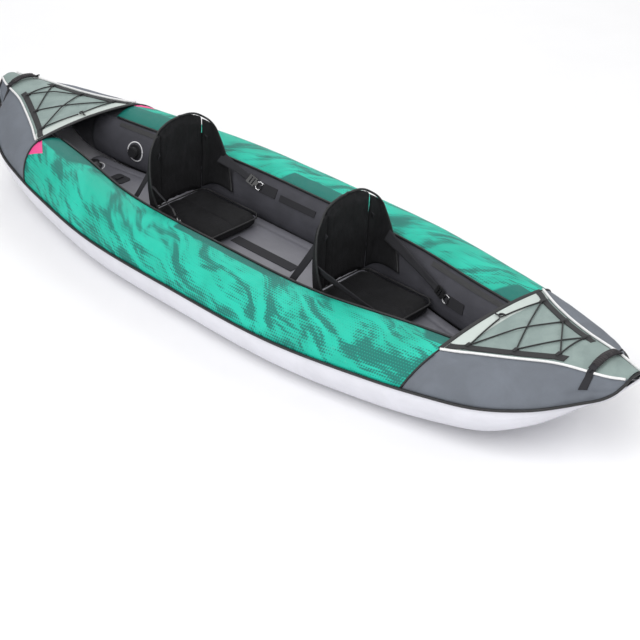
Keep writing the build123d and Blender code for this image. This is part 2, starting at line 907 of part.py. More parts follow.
def seat_anchors():
    """Sewn wall patches, each with the tunnel that holds a D-ring's bar, and the rear tabs."""
    with BuildPart() as patches:
        for name in seat_fronts:
            patch = anchor_plane(name, 1)
            with BuildSketch(patch):
                with Locations((-4, 0)):
                    RectangleRounded(88, 38, 4)
            extrude(amount=2.5)
            ring = ring_plane(name, 1)
            tunnel = Plane(origin=patch.origin - patch.x_dir * 40 + patch.z_dir * 2, z_dir=patch.z_dir,
                           x_dir=patch.x_dir)
            with BuildSketch(tunnel):
                Rectangle(11, 16)
            extrude(amount=9)
            with BuildSketch(Plane(origin=ring.origin - ring.y_dir * 40, z_dir=ring.y_dir)):
                Circle(ring_radius + touch_gap)
            extrude(amount=80, mode=Mode.SUBTRACT)
            with BuildSketch(rear_anchor_plane(name)):
                RectangleRounded(34, 44, 4)
            extrude(amount=2.5)
        mirror(about=Plane.XZ)
    write_part(patches, "seat_anchor_patches")


def rear_anchor_plane(name):
    station = seat_fronts[name] - hinge_setback - 96
    return wall_plane(station, 166, 1, touch_gap + 0.5)


def d_ring(name, side, label):
    """Bent-wire D-ring; its bar turns in the patch's tunnel."""
    plane = ring_plane(name, side)
    half = 15

    def place(u, v):
        return plane.origin + plane.x_dir * u + plane.y_dir * v

    corners = [(0, 0), (0, half), (ring_reach * 0.6, half), (ring_reach, 9), (ring_reach, -9),
               (ring_reach * 0.6, -half), (0, -half)]
    points = [place(*corner) for corner in corners]
    with BuildPart() as ring:
        with BuildLine() as route:
            start = Line(points[0], points[1])
            FilletPolyline(*points[1:7], radius=4)
            Line(points[6], points[0])
        with BuildSketch(Plane(origin=points[0], z_dir=points[1] - points[0])):
            Circle(ring_radius)
        sweep(path=route.line, transition=Transition.RIGHT)
    write_part(ring, label)


def strap_buckle(name, side, label):
    """Ladder buckle hooked on the D-ring, with two slots for the strap."""
    plane = ring_plane(name, side)
    start = ring_reach - 4
    length = 44
    with BuildPart() as buckle:
        with BuildSketch(plane.offset(-3)):
            with Locations((start + length / 2, 0)):
                RectangleRounded(length, 34, 3)
            with Locations((start + 19, 0), (start + 31, 0)):
                Rectangle(5, webbing_width + 1, mode=Mode.SUBTRACT)
            with Locations((start + 2, 13), (start + 2, -13)):
                Rectangle(16, 10, mode=Mode.SUBTRACT)
        extrude(amount=6)
        with BuildSketch(Plane(origin=plane.origin + plane.x_dir * ring_reach - plane.y_dir * 30,
                               z_dir=plane.y_dir)):
            Circle(ring_radius + touch_gap)
        extrude(amount=60, mode=Mode.SUBTRACT)
    write_part(buckle, label)


def flat_strap(start, end, width_axis, width):
    """A straight length of flat webbing between two points."""
    run = end - start
    plane = Plane(origin=start, x_dir=width_axis, z_dir=run)
    with BuildPart() as strap:
        with BuildSketch(plane):
            Rectangle(width, webbing_thickness)
        extrude(amount=run.length)
    return strap.part


def seat_straps(name):
    """Front straps from the wings to the buckles, and rear straps to the wall behind."""
    front = seat_fronts[name]
    with BuildPart() as straps:
        plane = ring_plane(name, 1)
        reach = ring_reach - 4 + 44 + touch_gap
        near = plane.origin + plane.x_dir * reach
        twist = plane.y_dir.X - plane.y_dir.Z * tan(radians(backrest_lean))
        far = strap_start(name, 1) + Vector(webbing_width / 2 * abs(twist), 0, 0)
        add(flat_strap(near, far, plane.y_dir, webbing_width))
        mirror(about=Plane.XZ)
    write_part(straps, f"{name}_seat_front_straps")
    with BuildPart() as tails:
        anchor = rear_anchor_plane(name)
        top = back_plane(front, 232).origin + Vector(-12, backrest_half_width + 3, 0)
        foot = anchor.origin + anchor.z_dir * 5.9
        run = (top - foot).normalized()
        add(flat_strap(foot, top, anchor.x_dir - run * run.dot(anchor.x_dir), 20))
        mirror(about=Plane.XZ)
    write_part(tails, f"{name}_seat_rear_straps")


def seat(name):
    front = seat_fronts[name]
    seat_cushion(name, front)
    seat_back(name, front)
    seat_wings(name, front)
    for side_name, side in (("port", 1), ("starboard", -1)):
        d_ring(name, side, f"{name}_seat_{side_name}_ring")
        strap_buckle(name, side, f"{name}_seat_{side_name}_buckle")
    seat_straps(name)


# ---- the whole kayak -----------------------------------------------------------------------
for side_name, side in (("port", 1), ("starboard", -1)):
    air_chamber(side, f"{side_name}_air_chamber")
    side_cover(side, f"{side_name}_side_cover")
    inner_wall(side, f"{side_name}_inner_wall")
    lower_skin(side, f"{side_name}_lower_skin")
    for end_name, direction in (("bow", 1), ("stern", -1)):
        cheek(direction, side, f"{end_name}_{side_name}_cheek")
floor_chamber()
bottom_panel()
deck_panel()
deck_bindings()
deck_piping()
lacing_strips()
bungees()
knots()
chine_piping()
rim_piping()
handle_strap()
handle_grip()
handle_patches()
valves()
skeg_base()
floor_strip()
floor_patch()
wall_webbing()
wall_zips()
seat_anchors()
for seat_name in seat_fronts:
    seat(seat_name)

for name in seat_fronts:
    hinge = back_plane(seat_fronts[name]).origin
    print(f"{name} hinge at {hinge.X:.2f} {hinge.Y:.2f} {hinge.Z:.2f}")
    for side_name, side in (("port", 1), ("starboard", -1)):
        ring = ring_plane(name, side)
        print(f"{name} {side_name} ring bar at {tuple(ring.origin)} along {tuple(ring.y_dir)}")
for name, plane in valve_planes().items():
    print(f"{name} valve at {tuple(plane.origin)} facing {tuple(plane.z_dir)}")
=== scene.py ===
"""Looks of a two-seat inflatable kayak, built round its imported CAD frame.

Metres. Origin under the middle of the hull on the ground, +X to the bow, +Y to port, +Z up.
"""

from math import ceil, cos, pi, radians, sin, sqrt

import bpy
import numpy as np
from mathutils import Matrix, Vector, noise


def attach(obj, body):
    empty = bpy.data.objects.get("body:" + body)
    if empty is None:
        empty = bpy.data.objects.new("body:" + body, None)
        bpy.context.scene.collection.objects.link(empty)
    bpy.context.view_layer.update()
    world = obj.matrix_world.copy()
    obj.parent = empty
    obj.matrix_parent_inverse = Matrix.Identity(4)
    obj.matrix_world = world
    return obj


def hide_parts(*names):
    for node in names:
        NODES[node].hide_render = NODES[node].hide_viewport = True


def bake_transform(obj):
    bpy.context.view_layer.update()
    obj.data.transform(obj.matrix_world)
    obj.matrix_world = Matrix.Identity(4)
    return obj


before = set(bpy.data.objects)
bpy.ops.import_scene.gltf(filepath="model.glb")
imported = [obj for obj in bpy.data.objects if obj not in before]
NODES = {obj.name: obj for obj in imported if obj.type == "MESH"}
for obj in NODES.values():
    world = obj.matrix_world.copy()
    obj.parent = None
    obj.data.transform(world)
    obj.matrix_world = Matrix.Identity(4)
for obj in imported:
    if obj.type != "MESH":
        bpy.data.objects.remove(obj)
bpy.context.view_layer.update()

bl_info = {
    "name": "Inflatable kayak",
    "version": (1, 0, 0),
    "blender": (4, 5, 0),
    "location": "View3D > Sidebar > Kayak",
    "description": "Builds the skins, decks, seats and fittings of a two-seat inflatable kayak",
    "category": "Add Mesh",
}

SIDES = (("port", 1), ("starboard", -1))
ENDS = (("bow", 1), ("stern", -1))
SEATS = {"rear": -0.185, "front": 0.690}

# ---- hull lines: stations along the half length, as shares of it ---------------------------
HALF_LENGTH = 1.6
SPREAD = 0.312
TUBE_RADIUS = 0.135
TUBE_HEIGHT = 0.138
TUBE_STATIONS = [0, 0.30, 0.55, 0.70, 0.78, 0.86, 0.90, 0.94, 0.97, 0.99, 1.0]
TUBE_SPREAD = [1, 0.968, 0.765, 0.640, 0.566, 0.509, 0.440, 0.300, 0.231, 0.141, 0.045]
TUBE_FULLNESS = [1, 1, 1.02, 0.926, 0.805, 0.505, 0.311, 0.104, 0.074, 0.059, 0.044]
TUBE_LIFT = [0, 0.001, 0.010, 0.025, 0.037, 0.069, 0.090, 0.109, 0.134, 0.163, 0.196]
DECK_STATIONS = [0.66, 0.70, 0.78, 0.86, 0.90, 0.94, 0.97, 0.99, 1.0]
DECK_SPREAD = [0.527, 0.452, 0.321, 0.207, 0.172, 0.137, 0.103, 0.079, 0.040]
DECK_ABOVE_TUBE = [0.004, 0.005, 0.020, 0.045, 0.055, 0.065, 0.045, 0.020, 0.004]
DECK_CROWN = [0.019, 0.018, 0.016, 0.014, 0.013, 0.013, 0.012, 0.010, 0.006]
HALF_BEAM = 0.455

CHINE = 9
RIM = 124
WALL_FOOT = 205
CORNER = 78
KEEL_SEAM = -84
DECK_START = 1.056
SEAM_LOW = 0.996
WALL_END = 1.15
NOSE_END = 1.592
FLOOR_TOP = 0.1
HANDLE_STATION = 1.49
HANDLE_HEIGHT = 0.338


def along(stations, values, x):
    """Reads a row of the hull lines smoothly at a distance x from midships."""
    u = min(max(abs(x) / HALF_LENGTH, stations[0]), stations[-1])
    last = len(stations) - 1
    i = max(k for k in range(last) if stations[k] <= u)

    def slope(k):
        if k == 0:
            return 0
        low, high = k - 1, min(k + 1, last)
        return (values[high] - values[low]) / (stations[high] - stations[low])

    step = stations[i + 1] - stations[i]
    t = (u - stations[i]) / step
    rise = values[i + 1] - values[i]
    start, end = slope(i) * step, slope(i + 1) * step
    bend = 3 * rise - 2 * start - end
    return values[i] + start * t + bend * t**2 + (start + end - 2 * rise) * t**3


def tube_y(x):
    return SPREAD * along(TUBE_STATIONS, TUBE_SPREAD, x)


def tube_z(x):
    return TUBE_HEIGHT + along(TUBE_STATIONS, TUBE_LIFT, x)


def tube_r(x):
    return TUBE_RADIUS * along(TUBE_STATIONS, TUBE_FULLNESS, x)


def tube_point(x, angle, out=0, side=1):
    """A point round the side tube; the angle starts at the outer equator and goes over the top."""
    radius = tube_r(x) + out
    y = tube_y(x) + radius * cos(radians(angle))
    return Vector((x, side * y, tube_z(x) + radius * sin(radians(angle))))


def deck_edge(x, out=0, side=1):
    """The deck's outer edge; inside the cockpit it is the top line of the tube's cover."""
    if abs(x) < DECK_START:
        return tube_point(x, CORNER, out, side)
    top = tube_z(x) + tube_r(x) + along(DECK_STATIONS, DECK_ABOVE_TUBE, x)
    y = HALF_BEAM * along(DECK_STATIONS, DECK_SPREAD, x) + out / 4
    return Vector((x, side * y, top + out))


def deck_height(x, y):
    """Height of the crowned deck, an arc across each station."""
    edge = deck_edge(x)
    crown = along(DECK_STATIONS, DECK_CROWN, x)
    radius = (edge.y**2 + crown**2) / (2 * crown)
    return edge.z + crown - radius + sqrt(max(radius**2 - y**2, 0))


def arc_point(first, middle, last, share):
    """A point on the circular arc through three points of one cross-section."""
    a, b, c = [Vector((p.y, p.z)) for p in (first, middle, last)]
    d = 2 * (a.x * (b.y - c.y) + b.x * (c.y - a.y) + c.x * (a.y - b.y))
    if abs(d) < 1e-9:
        return first.lerp(last, share)
    aa, bb, cc = a.length_squared, b.length_squared, c.length_squared
    centre = Vector((
        (aa * (b.y - c.y) + bb * (c.y - a.y) + cc * (a.y - b.y)) / d,
        (aa * (c.x - b.x) + bb * (a.x - c.x) + cc * (b.x - a.x)) / d,
    ))
    start = a - centre
    turn = start.angle_signed(b - centre) + (b - centre).angle_signed(c - centre)
    spot = centre + Matrix.Rotation(-turn * share, 2) @ start
    return Vector((first.x, spot.x, spot.y))


def seam_x(z):
    """Where the cover meets the cheek at a height: the seam slants back as it rises."""
    low, high = tube_point(SEAM_LOW, CHINE).z, deck_edge(DECK_START).z
    return SEAM_LOW + (DECK_START - SEAM_LOW) * (z - low) / (high - low)


def ripple(point, scale, depth):
    """Small lasting unevenness of cloth."""
    return depth * noise.noise(Vector(point) * scale)


def off_seams(w, steepness=8):
    """0 on a sheet's two sewn edges and 1 away from them."""
    return min(1, steepness * min(w, 1 - w))


# ---- making meshes -------------------------------------------------------------------------
def deselect():
    if bpy.context.object and bpy.context.object.mode != "OBJECT":
        bpy.ops.object.mode_set(mode="OBJECT")
    bpy.ops.object.select_all(action="DESELECT")


def make_active(piece):
    deselect()
    piece.select_set(True)
    bpy.context.view_layer.objects.active = piece


def name_piece(name):
    piece = bpy.context.object
    piece.name = name
    piece.data.name = name
    return piece


def apply_modifier(piece, kind, **settings):
    make_active(piece)
    modifier = piece.modifiers.new(kind.title(), kind)
    for key, value in settings.items():
        setattr(modifier, key, value)
    bpy.ops.object.modifier_apply(modifier=modifier.name)


def edit(piece, *steps):
    """Runs edit-mode operators on the whole of a piece."""
    make_active(piece)
    bpy.ops.object.mode_set(mode="EDIT")
    bpy.ops.mesh.select_all(action="SELECT")
    for operator, settings in steps:
        operator(**settings)
    bpy.ops.object.mode_set(mode="OBJECT")


def smooth(piece):
    make_active(piece)
    bpy.ops.object.shade_smooth()
    return piece


def cloth_sheet(name, cells, place, size, wall=0.0025, facing=None):
    """A sheet cut as a flat grid, carried to its place point by point; its UV map is in metres."""
    deselect()
    bpy.ops.mesh.primitive_grid_add(x_subdivisions=cells[0], y_subdivisions=cells[1], size=1)
    piece = name_piece(name)
    mesh = piece.data
    flat = [(v.co.x + 0.5, v.co.y + 0.5) for v in mesh.vertices]
    for vertex, (u, w) in zip(mesh.vertices, flat):
        vertex.co = place(u, w)
    layer = mesh.uv_layers.active.data
    for loop in mesh.loops:
        u, w = flat[loop.vertex_index]
        layer[loop.index].uv = (u * size[0], w * size[1])
    mesh.update()
    if facing is not None:
        wanted = sum(f.normal.dot(Vector(facing)) * f.area for f in mesh.polygons)
        if wanted < 0:
            edit(piece, (bpy.ops.mesh.flip_normals, {}))
    if wall:
        apply_modifier(piece, "SOLIDIFY", thickness=wall, offset=-1)
    return smooth(piece)


def curve_through(points, count, closed=False):
    """Evenly parted points of a smooth line through the given ones."""
    points = [Vector(p) for p in points]
    n = len(points)
    spans = n if closed else n - 1
    fine = []
    for k in range(spans * 12 + (0 if closed else 1)):
        i, t = min(k // 12, spans - 1), k / 12 - min(k // 12, spans - 1)
        if closed:
            a, b, c, d = [points[(i + j) % n] for j in (-1, 0, 1, 2)]
        else:
            b, c = points[i], points[i + 1]
            a = points[i - 1] if i else b * 2 - c
            d = points[i + 2] if i + 2 < n else c * 2 - b
        bend, twist = a * 2 - b * 5 + c * 4 - d, b * 3 - a - c * 3 + d
        fine.append((b * 2 + (c - a) * t + bend * t**2 + twist * t**3) / 2)
    if closed:
        fine.append(fine[0])
    reach = [0.0]
    for a, b in zip(fine, fine[1:]):
        reach.append(reach[-1] + (b - a).length)
    total = reach[-1]
    evened, i = [], 0
    for k in range(count + 1):
        goal = total * k / count
        while i < len(fine) - 2 and reach[i + 1] < goal:
            i += 1
        span = reach[i + 1] - reach[i] or 1
        evened.append(fine[i].lerp(fine[i + 1], (goal - reach[i]) / span))
    return evened, total


def swept(
    name, points, radius, sides=10, step=0.012, closed=False, flat=1, up=(0, 0, 1), shape=None
):
    """A round or flattened cord along a smooth line, its ends closed."""
    length = sum((Vector(b) - Vector(a)).length for a, b in zip(points, points[1:]))
    count = max(6, ceil(length / step))
    line, total = curve_through(points, count, closed)
    across, lifted = [], []
    for k in range(len(line)):
        ahead = line[(k + 1) % count] if closed else line[min(k + 1, count)]
        behind = line[(k - 1) % count] if closed else line[max(k - 1, 0)]
        run = (ahead - behind).normalized()
        aside = run.cross(Vector(up)).normalized()
        across.append(aside)
        lifted.append(aside.cross(run))
    steps = count + (0 if closed else 2)

    def place(u, w):
        k = round(u * steps)
        at = k if closed else min(max(k - 1, 0), count)
        size = 0 if not closed and k in (0, steps) else 1
        if shape:
            size *= shape(at / count)
        turn = 2 * pi * w
        return line[at] + (across[at] * cos(turn) * flat + lifted[at] * sin(turn)) * radius * size

    piece = cloth_sheet(name, (steps, sides), place, (total, 2 * pi * radius), wall=0)
    edit(
        piece,
        (bpy.ops.mesh.remove_doubles, {"threshold": 1e-6}),
        (bpy.ops.mesh.normals_make_consistent, {"inside": False}),
    )
    return smooth(piece)


def pad(name, cells, place):
    """A closed padded form: a block divided into a fine net whose points place() moves."""
    deselect()
    bpy.ops.mesh.primitive_cube_add(size=2)
    piece = name_piece(name)
    edit(piece, (bpy.ops.mesh.subdivide, {"number_cuts": cells}))
    for vertex in piece.data.vertices:
        vertex.co = place(*vertex.co)
    edit(piece, (bpy.ops.mesh.normals_make_consistent, {"inside": False}))
    return smooth(piece)


def swell(piece, voxel, cap, pressure=4.0, frames=20):
    """Fills a pad: its cloth is blown up a little, and no point moves further than cap."""
    apply_modifier(piece, "REMESH", mode="VOXEL", voxel_size=voxel)
    make_active(piece)
    rest = np.array([v.co[:] for v in piece.data.vertices])
    cloth = piece.modifiers.new("Cloth", "CLOTH")
    cloth.settings.quality = 4
    cloth.settings.use_pressure = True
    cloth.settings.uniform_pressure_force = pressure
    cloth.settings.effector_weights.gravity = 0
    scene = bpy.context.scene
    for step in range(1, frames + 1):
        scene.frame_set(step)
    evaluated = piece.evaluated_get(bpy.context.evaluated_depsgraph_get())
    blown = np.array([v.co[:] for v in evaluated.data.vertices])
    piece.modifiers.remove(cloth)
    scene.frame_set(1)
    moved = blown - rest
    reach = np.linalg.norm(moved, axis=1, keepdims=True)
    kept = rest + moved * np.minimum(1, cap / np.maximum(reach, 1e-9))
    for vertex, spot in zip(piece.data.vertices, kept):
        vertex.co = spot
    smooth(piece)


def displaced(piece, move):
    """Moves each point of a finished form along its normal by move(point, normal)."""
    mesh = piece.data
    mesh.update()
    normals = [Vector(v.normal) for v in mesh.vertices]
    for vertex, normal in zip(mesh.vertices, normals):
        vertex.co = vertex.co + normal * move(vertex.co, normal)
    mesh.update()


def twin(piece, name, move=(0, 0, 0), mirror=None):
    """A copy with its own mesh, moved or mirrored across the hull."""
    copy = piece.copy()
    copy.data = piece.data.copy()
    copy.name = name
    copy.data.name = name
    bpy.context.collection.objects.link(copy)
    flip = {"X": (-1, 1, 1), "Y": (1, -1, 1), None: (1, 1, 1)}[mirror]
    for vertex in copy.data.vertices:
        vertex.co = Vector([c * f + m for c, f, m in zip(vertex.co, flip, move)])
    if mirror:
        edit(copy, (bpy.ops.mesh.flip_normals, {}))
    return copy


def corner_twin(piece, name, end, side):
    """A copy of a bow, port piece at another corner of the hull."""
    copy = twin(piece, name, mirror="Y" if side < 0 else None)
    if end < 0:
        for vertex in copy.data.vertices:
            vertex.co.x *= -1
        edit(copy, (bpy.ops.mesh.flip_normals, {}))
    return copy


def at_corners(piece, stem):
    """Copies of a bow, port piece at the hull's four corners, in place of the piece itself."""
    copies = [
        corner_twin(piece, f"{end_name}_{side_name}_{stem}", end, side)
        for end_name, end in ENDS
        for side_name, side in SIDES
    ]
    bpy.data.objects.remove(piece)
    return copies


def settle(piece, body, slot, material, *stands_for):
    """Gives a finished piece its material and body, and hides the CAD nodes it stands for; the
    record slot is not used.
    """
    piece.data.materials.clear()
    piece.data.materials.append(material)
    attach(piece, body)
    if stands_for:
        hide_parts(*stands_for)
    return piece


def dress(node, material):
    """Gives a CAD node that stays in view its material."""
    piece = NODES[node]
    piece.data.materials.clear()
    piece.data.materials.append(material)


# ---- materials -----------------------------------------------------------------------------
class Value:
    """A shader number that takes part in Python sums."""

    def __init__(self, finish, socket):
        self.finish, self.socket = finish, socket

    def _math(self, operation, *others):
        made = self.finish.node("Math", {"operation": operation}, dict(enumerate((self, *others))))
        return Value(self.finish, made.outputs[0])

    def __add__(self, other):
        return self._math("ADD", other)

    __radd__ = __add__

    def __mul__(self, other):
        return self._math("MULTIPLY", other)

    __rmul__ = __mul__

    def __sub__(self, other):
        return self._math("SUBTRACT", other)

    def __rsub__(self, other):
        return self * -1 + other

    def __truediv__(self, other):
        return self._math("DIVIDE", other)

    def wave(self):
        return self._math("SINE")

    def size(self):
        return self._math("ABSOLUTE")

    def least(self, other):
        return self._math("MINIMUM", other)

    def most(self, other):
        return self._math("MAXIMUM", other)

    def root(self):
        return self._math("SQRT")

    def part(self):
        return self._math("FRACT")

    def within(self, low, high):
        """0 below low, 1 above high, smooth between."""
        made = self.finish.node(
            "MapRange",
            {"interpolation_type": "SMOOTHSTEP"},
            {"Value": self, "From Min": low, "From Max": high},
        )
        return Value(self.finish, made.outputs["Result"])


class Finish:
    """One material and the nodes that make it."""

    def __init__(self, name, roughness=0.7, **shader):
        self.material = bpy.data.materials.new(name)
        self.material.use_nodes = True
        self.tree = self.material.node_tree
        self.tree.nodes.clear()
        self.shader = self.node("BsdfPrincipled", {}, {"Roughness": roughness, **shader})
        self.node("OutputMaterial", {}, {"Surface": self.shader.outputs["BSDF"]})

    def node(self, kind, settings=None, sockets=None):
        made = self.tree.nodes.new("ShaderNode" + kind)
        for key, value in (settings or {}).items():
            setattr(made, key, value)
        for key, value in (sockets or {}).items():
            self.join(made.inputs[key], value)
        return made

    def join(self, socket, value):
        """Links a value to a socket, or sets the socket to a number or a colour."""
        if isinstance(value, Value):
            value = value.socket
        if isinstance(value, bpy.types.NodeSocket):
            self.tree.links.new(value, socket)
        elif socket.type == "RGBA" and len(value) == 3:
            socket.default_value = (*value, 1)
        else:
            socket.default_value = value

    def split(self, socket):
        made = self.node("SeparateXYZ", {}, {0: socket})
        return [Value(self, made.outputs[k]) for k in range(3)]

    def cut(self):
        """The cloth's own flat place in metres, and its two coordinates."""
        socket = self.node("UVMap").outputs["UV"]
        return (socket, *self.split(socket)[:2])

    def place(self):
        """The place in the kayak's frame, in metres, and its three coordinates."""
        socket = self.node("TexCoord").outputs["Object"]
        return (socket, *self.split(socket))

    def cloud(self, vector, scale, detail=3.0, rough=0.55, warp=0.0, stretch=None):
        """Noise, 0 to 1, stretched along the axes if asked."""
        if stretch:
            vector = self.node("Mapping", {}, {"Vector": vector, "Scale": stretch}).outputs[0]
        sockets = {"Vector": vector, "Scale": scale, "Detail": detail}
        made = self.node("TexNoise", {}, {**sockets, "Roughness": rough, "Distortion": warp})
        return Value(self, made.outputs["Fac"])

    def mix(self, factor, first, second):
        made = self.node("Mix", {"data_type": "RGBA"}, {"Factor": factor, "A": first, "B": second})
        return made.outputs["Result"]

    def weave(self, u, w, pitch):
        """Over-and-under threads, 0 to 1."""
        turn = 2 * pi / pitch
        return ((u * turn).wave() * (w * turn).wave()) * 0.5 + 0.5

    def finish(self, colour, height=None, depth=0.001, strength=1.0, roughness=None):
        """Joins colour, roughness and relief to the shader; depth is the relief's height."""
        links = {"Base Color": colour}
        if roughness is not None:
            links["Roughness"] = roughness
        if height is not None:
            relief = {"Height": height, "Distance": depth, "Strength": strength}
            bump = self.node("Bump", {}, relief)
            links["Normal"] = bump.outputs["Normal"]
        for key, value in links.items():
            self.join(self.shader.inputs[key], value)
        return self.material


COVER_CUT = 0.2715
BAND_EDGE = 1.104


def printed_cover(settings):
    """Turquoise nylon with a darker swirl printed in dots, flat darker zones and pink corners."""
    cloth = Finish("printed_cover", 0.5)
    flat, u, w = cloth.cut()
    where = cloth.place()[0]
    along_hull, past_rim = u - 1.04, w - 0.19
    bend = cloth.node("TexNoise", {}, {"Vector": flat, "Scale": 3.2, "Detail": 1.0})
    pushed = cloth.node(
        "VectorMath",
        {"operation": "MULTIPLY_ADD"},
        {0: bend.outputs["Color"], 1: (0.20, 0.16, 0), 2: flat},
    ).outputs[0]
    slant = {"Vector": pushed, "Rotation": (0, 0, radians(24))}
    turned = cloth.node("Mapping", {}, slant).outputs[0]
    swirl = cloth.cloud(turned, 1.0, 3.0, 0.55, 0.6, (4.0, 17.0, 1))
    fine = cloth.cloud(turned, 1.0, 2.0, 0.6, 0.3, (13.0, 46.0, 1))
    tone = (swirl * 0.72 + fine * 0.28).within(0.42, 0.60)
    across, up = (u / settings.dot_pitch).part() - 0.5, (w / settings.dot_pitch).part() - 0.5
    from_dot = (across * across + up * up).root()
    dot = (tone * 0.52 + 0.06 - from_dot).within(-0.05, 0.05)
    soft = cloth.cloud(flat, 4.0, 2.0, 0.5, 1.0)
    ground = cloth.mix(soft.within(0.35, 0.65), settings.cover_colour, settings.cover_light)
    shaded = cloth.mix(tone * 0.30, ground, settings.cover_dark)
    colour = cloth.mix(dot * 0.85, shaded, settings.cover_dark)
    stern = (along_hull * -1 + past_rim * 1.2).within(0.80, 0.82) * past_rim.within(-0.012, -0.008)
    bow = (along_hull + past_rim * 0.8).within(0.96, 0.975) * past_rim.within(0.0, 0.004)
    middle = ((along_hull - 0.08).size() + past_rim * -0.6).within(0.23, 0.22)
    plain = stern.most(bow).most(middle * past_rim.within(0.022, 0.026))
    colour = cloth.mix(plain, colour, settings.cover_plain)
    reach = u * (-0.045 / 0.08) + 0.045 - (w - 0.14).size()
    colour = cloth.mix(reach.within(0.0, 0.0015), colour, settings.accent_colour)
    weave = cloth.weave(u, w, settings.weave_pitch)
    worn = cloth.cloud(where, 40.0, 4.0)
    colour = cloth.mix(worn.within(0.62, 0.80) * 0.06, colour, (0.6, 0.8, 0.75))
    edge = (w * -1 + COVER_CUT).least(w).within(0.004, 0.012)
    height = weave * 0.35 + worn * 0.3 + edge * 0.8 - stitches(u, w, COVER_CUT, 0.008) * 0.8
    return cloth.finish(colour, height, 0.0012, 0.8, worn * 0.25 + 0.45)


def stitches(u, w, width, inset):
    """A row of stitches beside each long edge, 1 on the thread."""
    from_edge = (w * -1 + width).least(w)
    row = (from_edge - inset).size().within(0.0013, 0.0006)
    return row * ((u / 0.006).part() - 0.5).size().within(0.38, 0.30)


def plain_cloth(name, colour, pale, pitch=0.0014, rough=0.75, depth=0.0008, crease=0.35):
    """Woven nylon of one colour, with slight fading, creases and visible threads."""
    cloth = Finish(name, rough)
    _, u, w = cloth.cut()
    where = cloth.place()[0]
    fade = cloth.cloud(where, 9.0, 4.0, 0.6, 0.4)
    speck = cloth.cloud(where, 220.0, 2.0, 0.6)
    fold = cloth.cloud(where, 24.0, 3.0, 0.55, 1.2, (1, 1, 0.6))
    shade = cloth.mix(fade.within(0.3, 0.75) * 0.7, colour, pale)
    shade = cloth.mix(speck.within(0.5, 0.8) * 0.2, shade, pale)
    weave = cloth.weave(u, w, pitch)
    height = weave * 0.4 + fold * crease + speck * 0.15
    return cloth.finish(shade, height, depth, 0.8, fade * 0.2 + (rough - 0.1))


def deck_cloth(settings):
    """Sage nylon with a paler band along the cockpit edge and a faint diagonal tone."""
    cloth = Finish("deck_cloth", 0.7)
    _, u, w = cloth.cut()
    where, x, y, _ = cloth.place()
    fade = cloth.cloud(where, 8.0, 4.0, 0.6, 0.5)
    band = (x.size() - BAND_EDGE).within(0.0, 0.003)
    diagonal = (x.size() * 9.0 + y * 7.0 + fade * 1.5).part().within(0.45, 0.55)
    colour = cloth.mix(fade.within(0.3, 0.7) * 0.6, settings.deck_colour, settings.deck_dark)
    colour = cloth.mix(diagonal * 0.25, colour, settings.deck_dark)
    colour = cloth.mix(band * -1 + 1, colour, settings.deck_pale)
    seam = (x.size() - BAND_EDGE).size().within(0.003, 0.001)
    weave = cloth.weave(u, w, settings.weave_pitch)
    fold = cloth.cloud(where, 20.0, 3.0, 0.5, 1.0)
    height = weave * 0.4 + fold * 0.5 - seam * 0.8
    return cloth.finish(colour, height, 0.001, 0.8, fade * 0.2 + 0.6)


def coated(name, colour, pale, rough=0.42):
    """Smooth coated fabric: faint threads under the coating, soft scuffs and seams."""
    cloth = Finish(name, rough, **{"Coat Weight": 0.12, "Coat Roughness": 0.35})
    where, x, y, z = cloth.place()
    fade = cloth.cloud(where, 5.0, 4.0, 0.6, 0.6)
    scuff = cloth.cloud(where, 60.0, 5.0, 0.65, 0.3, (0.3, 1, 1))
    shade = cloth.mix(fade.within(0.3, 0.75) * 0.8, colour, pale)
    shade = cloth.mix(scuff.within(0.62, 0.85) * 0.25, shade, [c * 0.7 for c in colour])
    thread = cloth.weave(x, z + y, 0.0022)
    height = thread * 0.15 + scuff * 0.3 + fade * 0.5
    return cloth.finish(shade, height, 0.0006, 0.6, scuff * 0.25 + (rough - 0.08))


def webbing_weave(name, colour, pale, pitch=0.0024):
    """Ribbed webbing: raised rows across the tape and a fine diagonal in each."""
    cloth = Finish(name, 0.8)
    where, x, y, z = cloth.place()
    turn = 2 * pi / pitch
    rows = ((x * turn).wave() * 0.5 + 0.5) * 0.6 + (((y + z) * turn * 0.7).wave() * 0.5 + 0.5) * 0.4
    fuzz = cloth.cloud(where, 400.0, 2.0, 0.6)
    shade = cloth.mix(rows * 0.5 + fuzz * 0.3, colour, pale)
    return cloth.finish(shade, rows + fuzz * 0.4, 0.0006, 0.9, fuzz * 0.2 + 0.65)


def piping_cloth(name, colour, pale):
    """Corded piping: cloth drawn tight round a cord, faintly twisted and a little grimy."""
    cloth = Finish(name, 0.6)
    _, u, w = cloth.cut()
    where = cloth.place()[0]
    twist = ((u + w * 0.6) * (2 * pi / 0.004)).wave() * 0.5 + 0.5
    grime = cloth.cloud(where, 90.0, 3.0)
    shade = cloth.mix(grime.within(0.35, 0.75) * 0.5, colour, pale)
    return cloth.finish(shade, twist * 0.5 + grime * 0.4, 0.0006, 0.7, grime * 0.25 + 0.45)


def braid(name):
    """Braided elastic cord with pale flecks in the sheath."""
    cloth = Finish(name, 0.65)
    _, u, w = cloth.cut()
    turn = 2 * pi / 0.003
    cross = ((u + w) * turn).wave() * ((u - w) * turn).wave() * 0.5 + 0.5
    shade = cloth.mix(cross * 0.5, (0.008, 0.008, 0.009), (0.05, 0.05, 0.052))
    return cloth.finish(shade, cross, 0.0005, 0.9, cross * 0.2 + 0.5)


